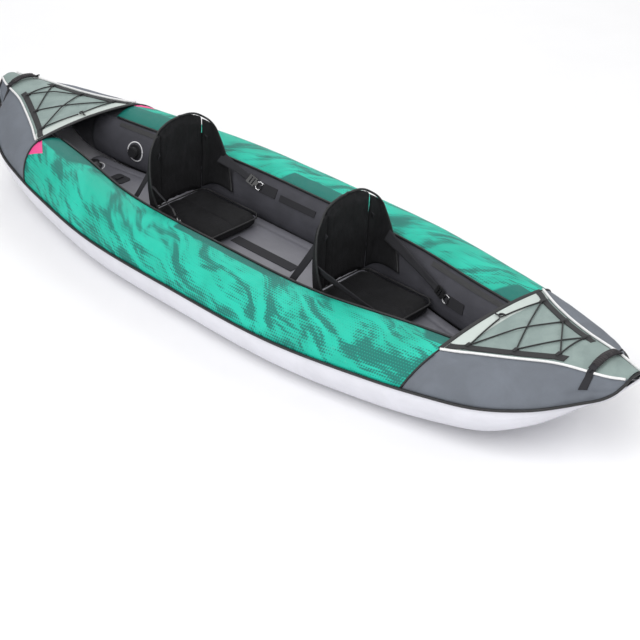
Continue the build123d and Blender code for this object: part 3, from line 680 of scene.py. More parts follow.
def seat_nylon(name, settings):
    """Matt black nylon over foam: coarse weave, dusty high spots and fine creases."""
    cloth = Finish(name, 0.82, **{"Specular IOR Level": 0.25})
    where, x, y, z = cloth.place()
    turn = 2 * pi / 0.0016
    threads = ((y * turn).wave() * ((z + x * 0.6) * turn).wave()) * 0.5 + 0.5
    dust = cloth.cloud(where, 14.0, 5.0, 0.62, 0.4)
    fold = cloth.cloud(where, 34.0, 4.0, 0.6, 1.5, (1.4, 2.2, 0.7))
    shade = cloth.mix(dust.within(0.35, 0.8) * 0.5, settings.fabric_colour, settings.fabric_worn)
    shade = cloth.mix(fold.within(0.5, 0.75) * 0.35, shade, settings.fabric_worn)
    return cloth.finish(shade, threads * 0.25 + fold * 0.9, 0.0022, 0.8, dust * 0.2 + 0.68)


def moulded(name, colour, rough=0.45):
    """Moulded plastic with a fine spark texture and handling marks."""
    plastic = Finish(name, rough)
    where = plastic.place()[0]
    grain = plastic.cloud(where, 900.0, 2.0)
    marks = plastic.cloud(where, 70.0, 5.0, 0.7, 0.3, (0.2, 1, 1))
    shade = plastic.mix(marks.within(0.6, 0.85) * 0.4, colour, [c * 2.5 + 0.02 for c in colour])
    relief = grain * 0.5 + marks * 0.4
    return plastic.finish(shade, relief, 0.0003, 0.6, marks * 0.3 + (rough - 0.1))


def drawn_wire(name):
    """Stainless wire with fine draw lines."""
    steel = Finish(name, 0.25, **{"Metallic": 1.0})
    where = steel.place()[0]
    lines = steel.cloud(where, 300.0, 4.0, 0.7, 0.0, (0.1, 1, 1))
    shade = steel.mix(lines.within(0.4, 0.7), (0.62, 0.62, 0.63), (0.45, 0.45, 0.46))
    return steel.finish(shade, lines, 0.0002, 0.5, lines * 0.25 + 0.15)


def printed_ring_ink(name):
    """White ink screened on the cockpit cloth."""
    ink = Finish(name, 0.6)
    where = ink.place()[0]
    worn = ink.cloud(where, 160.0, 4.0, 0.65)
    shade = ink.mix(worn.within(0.58, 0.75) * 0.6, (0.78, 0.78, 0.80), (0.25, 0.25, 0.28))
    return ink.finish(shade, worn, 0.0003, 0.6, worn * 0.2 + 0.5)


def tooth_tape(name):
    """Zip: woven tape with a row of coil teeth down its middle."""
    cloth = Finish(name, 0.6)
    where, x = cloth.place()[:2]
    teeth = (x * (2 * pi / 0.003)).wave() * 0.5 + 0.5
    fuzz = cloth.cloud(where, 300.0, 2.0)
    shade = cloth.mix(teeth * 0.6, (0.012, 0.012, 0.013), (0.07, 0.07, 0.075))
    return cloth.finish(shade, teeth + fuzz * 0.3, 0.0008, 0.9, fuzz * 0.2 + 0.45)


def grip_sleeve(name):
    """Quilted padded sleeve, dark with worn paler ribs."""
    cloth = Finish(name, 0.8)
    _, u, w = cloth.cut()
    where = cloth.place()[0]
    threads = cloth.weave(u, w, 0.0018)
    worn = cloth.cloud(where, 120.0, 4.0, 0.6)
    shade = cloth.mix(worn.within(0.4, 0.75) * 0.7, (0.016, 0.014, 0.016), (0.07, 0.06, 0.066))
    return cloth.finish(shade, threads * 0.5 + worn * 0.7, 0.0009, 0.9, worn * 0.2 + 0.6)


def floor_surface(name):
    """Pale seamless studio floor with a trace of unevenness."""
    material = Finish(name, 0.85)
    where = material.place()[0]
    grain = material.cloud(where, 3.0, 3.0)
    shade = material.mix(grain, (0.86, 0.86, 0.87), (0.90, 0.90, 0.91))
    return material.finish(shade, grain, 0.001, 0.2)


# ---- sizes and colours a user may change ---------------------------------------------------
def paler(colour, factor):
    return [channel * factor for channel in colour]


def colour_prop(name, description, default):
    return bpy.props.FloatVectorProperty(
        name=name, description=description, default=default, subtype="COLOR", size=3, min=0, max=1
    )


def length_prop(name, description, default):
    return bpy.props.FloatProperty(
        name=name, description=description, default=default, unit="LENGTH", min=0
    )


class HullSettings(bpy.types.PropertyGroup):
    cover_colour: colour_prop("Cover", "Ground colour of the covers", (0.0, 0.47, 0.335))
    cover_light: colour_prop("Cover light", "Lighter clouds in the ground", (0.004, 0.56, 0.41))
    cover_dark: colour_prop("Cover dots", "Darker print on the covers", (0.0, 0.13, 0.11))
    cover_plain: colour_prop("Cover ends", "Flat darker zones of the covers", (0.0, 0.165, 0.135))
    accent_colour: colour_prop("Accent", "Corner patches of the covers", (0.85, 0.07, 0.28))
    pvc_colour: colour_prop("Bottom", "Coated fabric of the bottom", (0.66, 0.66, 0.71))
    cheek_colour: colour_prop("Cheeks", "Nylon of the end cheeks", (0.13, 0.145, 0.17))
    wall_colour: colour_prop("Walls", "Cockpit walls", (0.045, 0.045, 0.055))
    floor_colour: colour_prop("Floor", "Inflatable floor", (0.13, 0.13, 0.15))
    dot_pitch: length_prop("Dot pitch", "Distance between the printed dots", 0.0095)
    weave_pitch: length_prop("Weave pitch", "Distance between threads", 0.0013)
    skin: length_prop("Skin", "Thickness of the hull's fabric", 0.0025)


class DeckSettings(bpy.types.PropertyGroup):
    deck_colour: colour_prop("Deck", "Nylon of the decks", (0.30, 0.38, 0.36))
    deck_dark: colour_prop("Deck shade", "Darker tone in the decks", (0.20, 0.26, 0.25))
    deck_pale: colour_prop("Deck band", "Paler band at the cockpit edge", (0.56, 0.62, 0.59))
    weave_pitch: length_prop("Weave pitch", "Distance between threads", 0.0013)
    webbing_width: length_prop("Webbing", "Width of the lacing strips", 0.025)
    bungee: length_prop("Lacing", "Diameter of the elastic lacing", 0.005)


class SeatSettings(bpy.types.PropertyGroup):
    fabric_colour: colour_prop("Seats", "Nylon of the seats", (0.0075, 0.0075, 0.0085))
    fabric_worn: colour_prop("Seats, worn", "Dust and wear on the seats", (0.022, 0.022, 0.025))
    back_height: length_prop("Back height", "Backrest above its hinge", 0.338)
    back_half_width: length_prop("Half width", "Half the padded panel's width", 0.104)
    lean: bpy.props.FloatProperty(
        name="Lean", description="Backrest's lean from upright", default=radians(6), subtype="ANGLE"
    )
    gathers: length_prop("Gathers", "Depth of the upright gathers in the backs", 0.0028)


class StageSettings(bpy.types.PropertyGroup):
    floor_size: length_prop("Floor", "Width of the plain floor", 60)
    key_power: bpy.props.FloatProperty(
        name="Key light", description="Power of the large soft light", default=255, min=0
    )


# ---- hull ----------------------------------------------------------------------------------
def cover_piece(side_name, side, settings, material):
    """One printed cover over the tube, drawn tight, puckered at its end seams."""
    low, high = CHINE, RIM

    def place(u, w):
        angle = low + (high - low) * w
        end = seam_x(tube_point(1.02, min(angle, CORNER)).z)
        x = end * (2 * u - 1)
        to_end = end - abs(x)
        pucker = 0.0014 * np.exp(-to_end / 0.03) * sin(angle * 0.9) if to_end > 0 else 0
        uneven = ripple((x, angle / 40, side * 3), 7, 0.0012)
        out = 0.0006 + pucker + uneven * off_seams(w)
        return tube_point(x, angle, out, side)

    girth = TUBE_RADIUS * radians(high - low)
    piece = cloth_sheet(
        f"{side_name}_cover_cloth", (230, 30), place, (2.08, girth), settings.skin, (0, side, 0.6)
    )
    settle(piece, "hull", "cover_fabric", material, f"{side_name}_side_cover")


def lower_piece(side_name, side, settings, material):
    """One side of the bottom, from the keel seam up to the chine."""

    def place(u, w):
        x = NOSE_END * (2 * u - 1)
        angle = KEEL_SEAM + (CHINE - KEEL_SEAM) * w
        slack = max(0, abs(x) - 1.25) / 0.34
        uneven = ripple((x, angle / 50, side), 6, 0.0008 + 0.002 * slack)
        return tube_point(x, angle, uneven * off_seams(w), side)

    girth = TUBE_RADIUS * radians(CHINE - KEEL_SEAM)
    piece = cloth_sheet(
        f"{side_name}_bottom_cloth", (260, 20), place, (3.2, girth), settings.skin, (0, side, -0.6)
    )
    settle(piece, "hull", "hull_pvc", material, f"{side_name}_lower_skin")


def keel_piece(settings, material):
    """The flat sheet between the two keel seams."""

    def place(u, w):
        x = NOSE_END * (2 * u - 1)
        seam = tube_point(x, KEEL_SEAM)
        z = tube_z(x) - tube_r(x) - 0.003
        return Vector((x, seam.y * (2 * w - 1), z))

    piece = cloth_sheet("bottom_sheet", (160, 12), place, (3.2, 0.65), settings.skin, (0, 0, -1))
    settle(piece, "hull", "hull_pvc", material, "bottom_panel")


def wall_piece(side_name, side, settings, material):
    """One cockpit wall, from the rim down to the floor."""

    def place(u, w):
        x = (WALL_END - 0.004) * (2 * u - 1)
        angle = RIM + (WALL_FOOT - RIM) * w
        uneven = ripple((x, angle / 30, side * 5), 9, 0.0016)
        return tube_point(x, angle, uneven * off_seams(w), side)

    girth = TUBE_RADIUS * radians(WALL_FOOT - RIM)
    piece = cloth_sheet(
        f"{side_name}_wall_cloth", (150, 18), place, (2.3, girth), settings.skin, (0, -side, 0)
    )
    settle(piece, "hull", "cockpit_fabric", material, f"{side_name}_inner_wall")


def cheek_place(end, side):
    """The cheek's surface: from the seam to the nose, and from the chine up to the deck's edge."""

    def section(x, share):
        middle = (CHINE + CORNER) / 2
        low, high = tube_point(x, CHINE, 0, side), deck_edge(x, 0, side)
        return arc_point(low, tube_point(x, middle, 0, side), high, share)

    def place(u, w):
        start = seam_x(section(1.02, w).z)
        x = start + 0.0008 + (NOSE_END - start) * u
        spot = section(x, w)
        nose = min(1, max(0, (x - 1.30) / 0.2))
        folds = 0.0045 * nose * noise.noise(Vector((x * 26, w * 3.2, side * 2 + end)))
        folds += 0.0016 * noise.noise(Vector((x * 12, w * 7, side * 2 + end)))
        spot.y += side * folds * off_seams(w)
        spot.x *= end
        return spot

    return place


def cheek_piece(end_name, end, side_name, side, settings, material):
    piece = cloth_sheet(
        f"{end_name}_{side_name}_cheek_cloth",
        (90, 24),
        cheek_place(end, side),
        (0.6, 0.25),
        settings.skin,
        (end * 0.3, side, 0.3),
    )
    settle(piece, "hull", "cheek_fabric", material, f"{end_name}_{side_name}_cheek")


FLOOR_FLAT = 0.86  # share of the floor's cells on its flat top
FLOOR_EDGE = 0.02


def floor_piece(material):
    """The blown-up floor: flat on top, with a round edge tube down each side."""
    end = WALL_END - 0.022

    def place(u, w):
        x = end * (2 * u - 1)
        drop = FLOOR_TOP - tube_z(x)
        half = tube_y(x) - sqrt(tube_r(x) ** 2 - drop**2) - 0.001
        low = tube_z(x) - tube_r(x) + 0.001
        lane = abs(2 * w - 1)
        if lane > FLOOR_FLAT:
            share = (lane - FLOOR_FLAT) / 0.14
            turn = share * pi / 2
            y = half - FLOOR_EDGE + FLOOR_EDGE * sin(turn)
            z = FLOOR_TOP - FLOOR_EDGE + FLOOR_EDGE * cos(turn)
            if share > 0.99:
                z = low
        else:
            y = (half - FLOOR_EDGE) * lane / FLOOR_FLAT
            groove = 0.003 * np.exp(-(((y - (half - 0.045)) / 0.006) ** 2))
            z = FLOOR_TOP - 0.0002 - groove
        bulge = 0.0 if abs(x) < end - 0.03 else 0.01 * ((abs(x) - end + 0.03) / 0.03) ** 2
        return Vector((x, (1 if w > 0.5 else -1) * y, z - bulge))

    piece = cloth_sheet("floor_cloth", (110, 56), place, (2.25, 0.4), 0.002, (0, 0, 1))
    settle(piece, "hull", "floor_fabric", material, "floor_air_chamber")


class KAYAK_OT_hull(bpy.types.Operator):
    """Covers, bottom, cockpit walls, cheeks and floor"""

    bl_idname = "kayak.hull"
    bl_label = "Hull skins"

    def execute(self, context):
        settings = context.scene.kayak_hull
        cover = printed_cover(settings)
        slate, grey = settings.cheek_colour, settings.floor_colour
        pvc = coated("bottom_pvc", settings.pvc_colour, paler(settings.pvc_colour, 1.15))
        wall = plain_cloth("wall_cloth", settings.wall_colour, paler(settings.wall_colour, 1.6))
        cheek = plain_cloth("cheek_cloth", slate, paler(slate, 1.35))
        floor = coated("floor_cloth", grey, paler(grey, 1.3), 0.5)
        film = coated("bladder_film", (0.045, 0.045, 0.052), (0.07, 0.07, 0.08), 0.5)
        for side_name, side in SIDES:
            cover_piece(side_name, side, settings, cover)
            lower_piece(side_name, side, settings, pvc)
            wall_piece(side_name, side, settings, wall)
            for end_name, end in ENDS:
                cheek_piece(end_name, end, side_name, side, settings, cheek)
            dress(f"{side_name}_air_chamber", film)
        keel_piece(settings, pvc)
        floor_piece(floor)
        return {"FINISHED"}


# ---- decks ---------------------------------------------------------------------------------
def deck_piece(end_name, end, material):
    """One deck, crowned across and drawn tight to its edges."""

    def place(u, w):
        x = DECK_START + (NOSE_END - DECK_START) * u
        half = deck_edge(x).y - 0.0012
        y = half * (2 * w - 1)
        spot = Vector((x, y, deck_height(x, y)))
        tight = off_seams(w, 10) * min(1, 12 * u)
        spot.z += tight * ripple((x * 1.4, y * 2.2, end), 9, 0.0022)
        spot.x *= end
        return spot

    piece = cloth_sheet(f"{end_name}_deck_cloth", (90, 48), place, (0.53, 0.48), 0.002, (0, 0, 1))
    settle(piece, "hull", "deck_fabric", material, f"{end_name}_deck_panel")


LACING = (1.112, 1.243, 1.365)
STRIP_INSET = 0.012
STRIP_HALF = 0.0125
STRIP_END = 1.396
LACE_END = 1.094
LACE_LIFT = 0.0046
EDGE_CORD_END = 1.588


def strip_middle(x):
    return deck_edge(x).y - STRIP_INSET - STRIP_HALF


def lacing_strip(width):
    """One sewn strip of webbing along the deck's edge, humped where each loop is formed."""

    def place(u, w):
        x = DECK_START + 0.008 + (STRIP_END - DECK_START - 0.008) * u
        y = strip_middle(x) + width * (0.5 - w)
        hump = sum(np.exp(-(((x - s) / 0.010) ** 2)) for s in LACING)
        return Vector((x, y, deck_height(x, y) + 0.0027 + 0.0035 * hump))

    return cloth_sheet("lacing_strip_bow_port", (140, 6), place, (0.33, width), 0.002, (0, 0, 1))


def lacing_loop(x, name):
    """A folded webbing loop that reaches in from the strip and holds the lacing."""
    edge = strip_middle(x) - STRIP_HALF
    z = deck_height(x, edge)
    points = [
        (x, edge + 0.012, z + 0.0062),
        (x, edge + 0.002, z + 0.0080),
        (x, edge - 0.0065, z + 0.0082),
        (x, edge - 0.0095, z + 0.0045),
        (x, edge - 0.0065, z + 0.0012),
        (x, edge + 0.002, z + 0.0016),
    ]
    return swept(name, points, 0.0008, 8, 0.0015, flat=7.5, up=(0, 0.02, 1))


def lacing_route():
    """Crossed lacing: out to the rear loop, forward in a zigzag, back the other way."""
    rear, middle, front = LACING
    reach = [strip_middle(x) - STRIP_HALF - 0.0035 for x in LACING]
    corners = [
        (LACE_END, 0.012),
        (rear, reach[0]),
        (middle, -reach[1]),
        (front, reach[2]),
        (front + 0.003, -reach[2]),
        (middle + 0.003, reach[1]),
        (rear + 0.003, -reach[0]),
        (LACE_END, -0.012),
    ]
    over = [0, 0, 0, 0, 0.0062, 0.0062, 0]
    route = []
    for k, (start, end) in enumerate(zip(corners, corners[1:])):
        for share in (0, 0.03, 0.1, 0.3, 0.42, 0.5, 0.58, 0.7, 0.9, 0.97):
            x = start[0] + (end[0] - start[0]) * share
            y = start[1] + (end[1] - start[1]) * share
            lift = over[k] * max(0, 1 - abs(share - 0.5) / 0.35)
            route.append((x, y, deck_height(x, y) + LACE_LIFT + lift))
    route.append((LACE_END, -0.012, deck_height(LACE_END, 0.012) + LACE_LIFT))
    return route


def edge_cord():
    """White piping along one edge of a deck."""
    start = DECK_START + 0.002
    route = []
    for step in range(13):
        x = start + (EDGE_CORD_END - DECK_START - 0.002) * step / 12
        edge = deck_edge(x)
        route.append((x, edge.y + 0.0028, edge.z + 0.0036))
    return swept("bow_port_edge_cord", route, 0.0042, 10, 0.012)


def edge_tape():
    """Folded tape round the cockpit edge of a deck."""
    half = deck_edge(DECK_START).y - 0.004
    fold = [
        (DECK_START + 0.005, 0.0010),
        (DECK_START + 0.001, 0.0015),
        (DECK_START - 0.006, 0.0015),
        (DECK_START - 0.010, 0.0007),
        (DECK_START - 0.0112, -0.0008),
        (DECK_START - 0.010, -0.0026),
        (DECK_START - 0.006, -0.0036),
        (DECK_START - 0.001, -0.0036),
    ]

    def place(u, w):
        y = half * (2 * u - 1)
        x, rise = fold[round(w * (len(fold) - 1))]
        return Vector((x, y, deck_height(DECK_START, y) + rise + ripple((y, w, 1), 30, 0.0006)))

    return cloth_sheet("bow_edge_tape", (60, len(fold) - 1), place, (0.48, 0.03), 0.0012, (0, 0, 1))


class KAYAK_OT_decks(bpy.types.Operator):
    """Decks with their bindings, piping, webbing and lacing"""

    bl_idname = "kayak.decks"
    bl_label = "Decks and lacing"

    def execute(self, context):
        settings = context.scene.kayak_deck
        cloth = deck_cloth(settings)
        tape = webbing_weave("webbing", (0.010, 0.010, 0.011), (0.045, 0.045, 0.048))
        white = piping_cloth("white_piping_cloth", (0.80, 0.80, 0.80), (0.62, 0.62, 0.62))
        bow_tape = edge_tape()
        strip = lacing_strip(settings.webbing_width)
        edgings = (
            (strip, "webbing_strip", "webbing", tape, "lacing_strips"),
            (edge_cord(), "deck_edge_piping", "white_piping", white, "deck_piping"),
        )
        for end_name, end in ENDS:
            deck_piece(end_name, end, cloth)
            binding = twin(bow_tape, f"{end_name}_binding", mirror=None if end > 0 else "X")
            settle(binding, "hull", "webbing", tape, "deck_bindings")
            for side_name, side in SIDES:
                for source, stem, slot, material, node in edgings:
                    made = corner_twin(source, f"{end_name}_{side_name}_{stem}", end, side)
                    settle(made, "hull", slot, material, node)
        for source in (bow_tape, *(row[0] for row in edgings)):
            bpy.data.objects.remove(source)
        self.lace(braid("lacing_braid"), tape, settings.bungee / 2)
        return {"FINISHED"}

    def lace(self, cord, tape, radius):
        """The elastic lacing of both decks, its webbing loops and its knots."""
        bow = swept("bow_lacing", lacing_route(), radius, 8, 0.006)
        stern = twin(bow, "stern_lacing", mirror="X")
        for end_name, piece in (("bow", bow), ("stern", stern)):
            settle(piece, "hull", "bungee_cord", cord, f"{end_name}_bungee")
        for x in LACING:
            loop = lacing_loop(x, f"loop_{round(x * 1000)}")
            for made in at_corners(loop, f"lacing_loop_{round(x * 1000)}"):
                settle(made, "hull", "webbing", tape)
        height = deck_height(1.089, 0) + 0.0052
        knot_line = [
            (1.066, 0.0, deck_height(1.066, 0) + LACE_LIFT),
            (1.080, 0.001, height),
            (1.090, 0.009, height + 0.003),
            (1.098, 0.002, height + 0.004),
            (1.091, -0.008, height + 0.002),
            (1.083, -0.001, height + 0.005),
            (1.090, 0.006, height + 0.007),
            (1.099, 0.013, height + 0.002),
        ]
        knot = swept("bow_knot", knot_line, radius, 8, 0.003)
        other = twin(knot, "stern_knot", mirror="X")
        settle(knot, "hull", "bungee_cord", cord, "bow_bungee_knot")
        settle(other, "hull", "bungee_cord", cord, "stern_bungee_knot")


# ---- pipings, handles and fittings ---------------------------------------------------------
CHINE_STATIONS = [0.12 * k for k in range(10)]
CHINE_STATIONS += [1.2, 1.28, 1.35, 1.41, 1.46, 1.5, 1.53, 1.555, 1.575]
WALL_VALVE = (-0.896, 168)  # station, and angle round the tube
FLOOR_VALVE = -1.040
WALL_RING = 0.0385
FLOOR_RING = 0.0395
RING_WIDTH = 0.0045
HANDLE_HALF_SPAN = 0.066
HANDLE_RISE = 0.017
GRIP_HALF = 0.050


def slanted_lift(x, angle, radius):
    """How far a cord's middle stands off a tube that slants at this station."""
    ahead, behind = tube_point(x + 0.008, angle), tube_point(x - 0.008, angle)
    slant = Vector((ahead.y - behind.y, ahead.z - behind.z)).length / 0.016
    return (radius + 0.0006) * sqrt(1 + slant**2)


class KAYAK_OT_trim(bpy.types.Operator):
    """Chine and rim piping, valves, webbing, zips and the fin base"""

    bl_idname = "kayak.trim"
    bl_label = "Piping and fittings"

    def execute(self, context):
        black = piping_cloth("black_piping_cloth", (0.010, 0.010, 0.011), (0.035, 0.035, 0.037))
        quarter = []
        for x in CHINE_STATIONS:
            quarter.append(tuple(tube_point(x, CHINE, slanted_lift(x, CHINE, 0.004))))
        quarter += [(1.586, 0.0500, 0.3090), (1.5925, 0.0360, 0.3220), (1.5950, 0.0180, 0.3330)]
        starboard = [(x, -y, z) for x, y, z in reversed(quarter)]
        bow = quarter + starboard[:-1]
        stern = [(-x, -y, z) for x, y, z in bow[1:]]
        loop = bow + [(0, -quarter[0][1], quarter[0][2])] + stern
        chine = swept("chine_piping_cord", loop, 0.0048, 10, 0.012, closed=True)
        settle(chine, "hull", "black_piping", black, "chine_piping")
        self.seam_cords(black)
        end = DECK_START - 0.016
        route = []
        for k in range(25):
            x = end * (k / 12 - 1)
            route.append(tuple(tube_point(x, RIM, slanted_lift(x, RIM, 0.004))))
        rim = swept("port_rim_piping", route, 0.0044, 10, 0.012)
        settle(rim, "hull", "black_piping", black, "rim_piping")
        other = twin(rim, "starboard_rim_piping", mirror="Y")
        settle(other, "hull", "black_piping", black, "rim_piping")
        tape = bpy.data.materials["webbing"]
        for node in ("wall_webbing", "floor_strip", "floor_patch", "seat_anchor_patches"):
            dress(node, tape)
        dress("wall_zips", tooth_tape("zip_tape"))
        dress("skeg_base", moulded("fin_base_plastic", (0.02, 0.02, 0.022), 0.5))
        plastic = moulded("valve_plastic", (0.018, 0.018, 0.02), 0.4)
        for node in ("valve_bases", "port_valve_cap", "starboard_valve_cap", "floor_valve_cap"):
            dress(node, plastic)
        self.rings()
        return {"FINISHED"}

    def seam_cords(self, black):
        """Cords in the slanted seams between covers and cheeks."""
        line = []
        for k in range(9):
            angle = CHINE + 2 + (CORNER - CHINE - 2) * k / 8
            x = seam_x(tube_point(1.02, angle).z)
            line.append(tuple(tube_point(x, angle, 0.0022)))
        cord = swept("bow_port_seam_cord", line, 0.0034, 8, 0.008)
        for made in at_corners(cord, "cover_seam_cord"):
            settle(made, "hull", "black_piping", black)

    def rings(self):
        """White printed rings round the three valves."""
        ink = printed_ring_ink("ring_ink")
        for side_name, side in SIDES:

            def on_wall(u, w):
                turn, reach = 2 * pi * u, WALL_RING + RING_WIDTH * (w - 0.5)
                x = WALL_VALVE[0] + reach * cos(turn)
                angle = WALL_VALVE[1] + reach * sin(turn) / tube_r(x) * 180 / pi
                return tube_point(x, angle, 0.0022, side)

            name, size = f"{side_name}_valve_print", (0.24, RING_WIDTH)
            ring = cloth_sheet(name, (48, 1), on_wall, size, 0.0008, (0, -side, 0))
            settle(ring, "hull", "cockpit_fabric", ink)

        def on_floor(u, w):
            turn, reach = 2 * pi * u, FLOOR_RING + RING_WIDTH * (w - 0.5)
            return Vector((FLOOR_VALVE + reach * cos(turn), reach * sin(turn), FLOOR_TOP + 0.0012))

        size = (0.25, RING_WIDTH)
        ring = cloth_sheet("floor_valve_print", (48, 1), on_floor, size, 0.0008, (0, 0, 1))
        settle(ring, "hull", "floor_fabric", ink)


class KAYAK_OT_handles(bpy.types.Operator):
    """Padded grab handles over the bow and stern"""

    bl_idname = "kayak.handles"
    bl_label = "Grab handles"

    def execute(self, context):
        sleeve = grip_sleeve("grip_sleeve")
        tape = bpy.data.materials["webbing"]
        top = HANDLE_HEIGHT + HANDLE_RISE
        route = []
        for k in range(17):
            y = GRIP_HALF * (k / 8 - 1)
            route.append((HANDLE_STATION, y, top - HANDLE_RISE * (y / HANDLE_HALF_SPAN) ** 2))

        def ribs(share):
            wave = sin(share * 13 * 2 * pi)
            ends = min(1, 0.72 + 8 * min(share, 1 - share))
            return (1 + 0.10 * wave) * ends

        grip = swept("bow_grip_sleeve", route, 0.0074, 24, 0.0011, flat=1.85, shape=ribs)
        for made in at_corners(self.tab(), "handle_tab"):
            settle(made, "hull", "webbing", tape, "handle_patches")
        grips = {"bow": grip, "stern": twin(grip, "stern_grip_sleeve", mirror="X")}
        for end_name, made in grips.items():
            handle = f"{end_name}_handle"
            settle(made, handle, "grip_fabric", sleeve, f"{handle}_grip")
            dress(f"{handle}_strap", tape)
        return {"FINISHED"}

    def tab(self):
        """The webbing end of a handle, folded over the deck's edge and sewn down the cheek."""

        def place(u, w):
            x = HANDLE_STATION + 0.020 * (u - 0.5)
            edge = deck_edge(x)
            if w < 0.15:
                lap = w / 0.15
                rise = edge.z + 0.0105 - 0.004 * lap * lap
                return Vector((x, edge.y - 0.004 + 0.012 * lap, rise))
            down = (w - 0.15) / 0.85
            low, middle = tube_point(x, CHINE), tube_point(x, (CHINE + CORNER) / 2)
            spot = arc_point(low, middle, edge, 0.97 - 0.52 * down)
            lift = 0.0032 + 0.005 * max(0, 1 - down * 5)
            return spot + Vector((0, lift, 0.3 * lift))

        size, facing = (0.022, 0.06), (0, 1, 0.2)
        return cloth_sheet("bow_port_handle_tab", (8, 26), place, size, 0.0025, facing)


# ---- seats ---------------------------------------------------------------------------------
HINGE_BACK = 0.297
HINGE_HEIGHT = 0.165
BACK_SEAM = 0.072
WING_EDGE = ((0.100, 0.160, 0.006), (0.045, 0.200, 0.110), (0.012, 0.152, 0.250))


def seat_spot(front, lean, forward, aside, up):
    """A point of the backrest: forward of, beside and up from its hinge, in its leaning plane."""
    x = front - HINGE_BACK + forward * cos(lean) + up * sin(lean)
    return Vector((x, aside, HINGE_HEIGHT - forward * sin(lean) + up * cos(lean)))


def back_top(aside, settings):
    share = min(1, abs(aside) / settings.back_half_width)
    return settings.back_height - 0.034 * share**2.6


def back_pad(front, settings):
    """The domed backrest: foam between two sheets, gathered upright, leaning on its hinge."""
    half = settings.back_half_width

    def place(a, b, c):
        aside = half * a
        up = -0.006 + (back_top(aside, settings) + 0.006) * (b + 1) / 2
        bow = -0.003 + 0.012 * a * a
        rim = (1 - abs(a) ** 5) * (1 - abs(b) ** 7)
        thick = 0.005 + 0.0085 * sqrt(max(rim, 0))
        return seat_spot(front, settings.lean, bow - 0.0145 + thick * c, aside, up)

    piece = pad("front_back_pad", 34, place)
    swell(piece, 0.005, 0.005)

    def gather(point, normal):
        up = (point.z - HINGE_HEIGHT) / settings.back_height
        upright = noise.noise(Vector((point.y * 55, point.z * 7, 3)))
        slant = noise.noise(Vector((point.y * 24 + point.z * 16, point.z * 9, 8)))
        low = 1.15 - 0.6 * up
        seam = np.exp(-(((abs(point.y) - BACK_SEAM) / 0.004) ** 2))
        return settings.gathers * (upright * low + 0.7 * slant) - 0.0022 * seam

    apply_modifier(piece, "SUBSURF", levels=1, render_levels=1)
    displaced(piece, gather)
    return smooth(piece)


def wing_edges(t):
    """The wing's sewn edge and its free front edge at a share t of its height."""
    inner = Vector((0.001, 0.100, 0.008 + 0.290 * t))
    first, pull, last = (Vector(p) for p in WING_EDGE)
    outer = first * (1 - t) ** 2 + pull * 2 * t * (1 - t) + last * t * t
    return inner, outer


def wing_pad(front, settings):
    """A padded wing that curves forward from the back's side to its free edge."""

    def surface(s, t):
        inner, outer = wing_edges(t)
        low = 1 - t
        bulge = Vector((-0.006 - 0.026 * low, 0.006 + 0.016 * low, 0)) * sin(pi * min(max(s, 0), 1))
        return inner.lerp(outer, s) + bulge

    def place(a, b, c):
        s, t = (a + 1) / 2, (b + 1) / 2
        here = surface(s, t)
        normal = (surface(s + 0.01, t) - here).cross(surface(s, t + 0.01) - here).normalized()
        rim = (1 - abs(a) ** 5) * (1 - abs(b) ** 5)
        thick = 0.0022 + 0.0045 * sqrt(max(rim, 0))
        folds = 0.0026 * noise.noise(Vector((s * 4.5, t * 2.2, 4)))
        spot = here + normal * (thick * c + folds * sqrt(max(rim, 0)))
        return seat_spot(front, settings.lean, spot.x, spot.y, spot.z)

    return pad("front_port_wing_pad", 26, place)


def shell_piping(front, settings):
    """Piping up the wing's front edge, over the dome of the back and down the other wing."""
    route = []
    for k in range(9):
        route.append(tuple(wing_edges(k / 8)[1]))
    route.append((0.004, 0.130, 0.283))
    for k in range(4):
        aside = 0.100 - 0.03 * k
        route.append((-0.008, aside, back_top(aside, settings) + 0.001))
    route.append((-0.011, 0.0, settings.back_height + 0.001))
    mirrored = [(f, -a, u) for f, a, u in reversed(route[:-1])]
    line = [tuple(seat_spot(front, settings.lean, *spot)) for spot in route + mirrored]
    return swept("front_shell_piping", line, 0.0038, 8, 0.006)


CUSHION_LENGTH = 0.330
CUSHION_CORNER = 0.040
CUSHION_HALF = 0.1325
CUSHION_BOW = 0.008  # how far the front edge bulges at its middle
CUSHION_FOOT = 0.1026


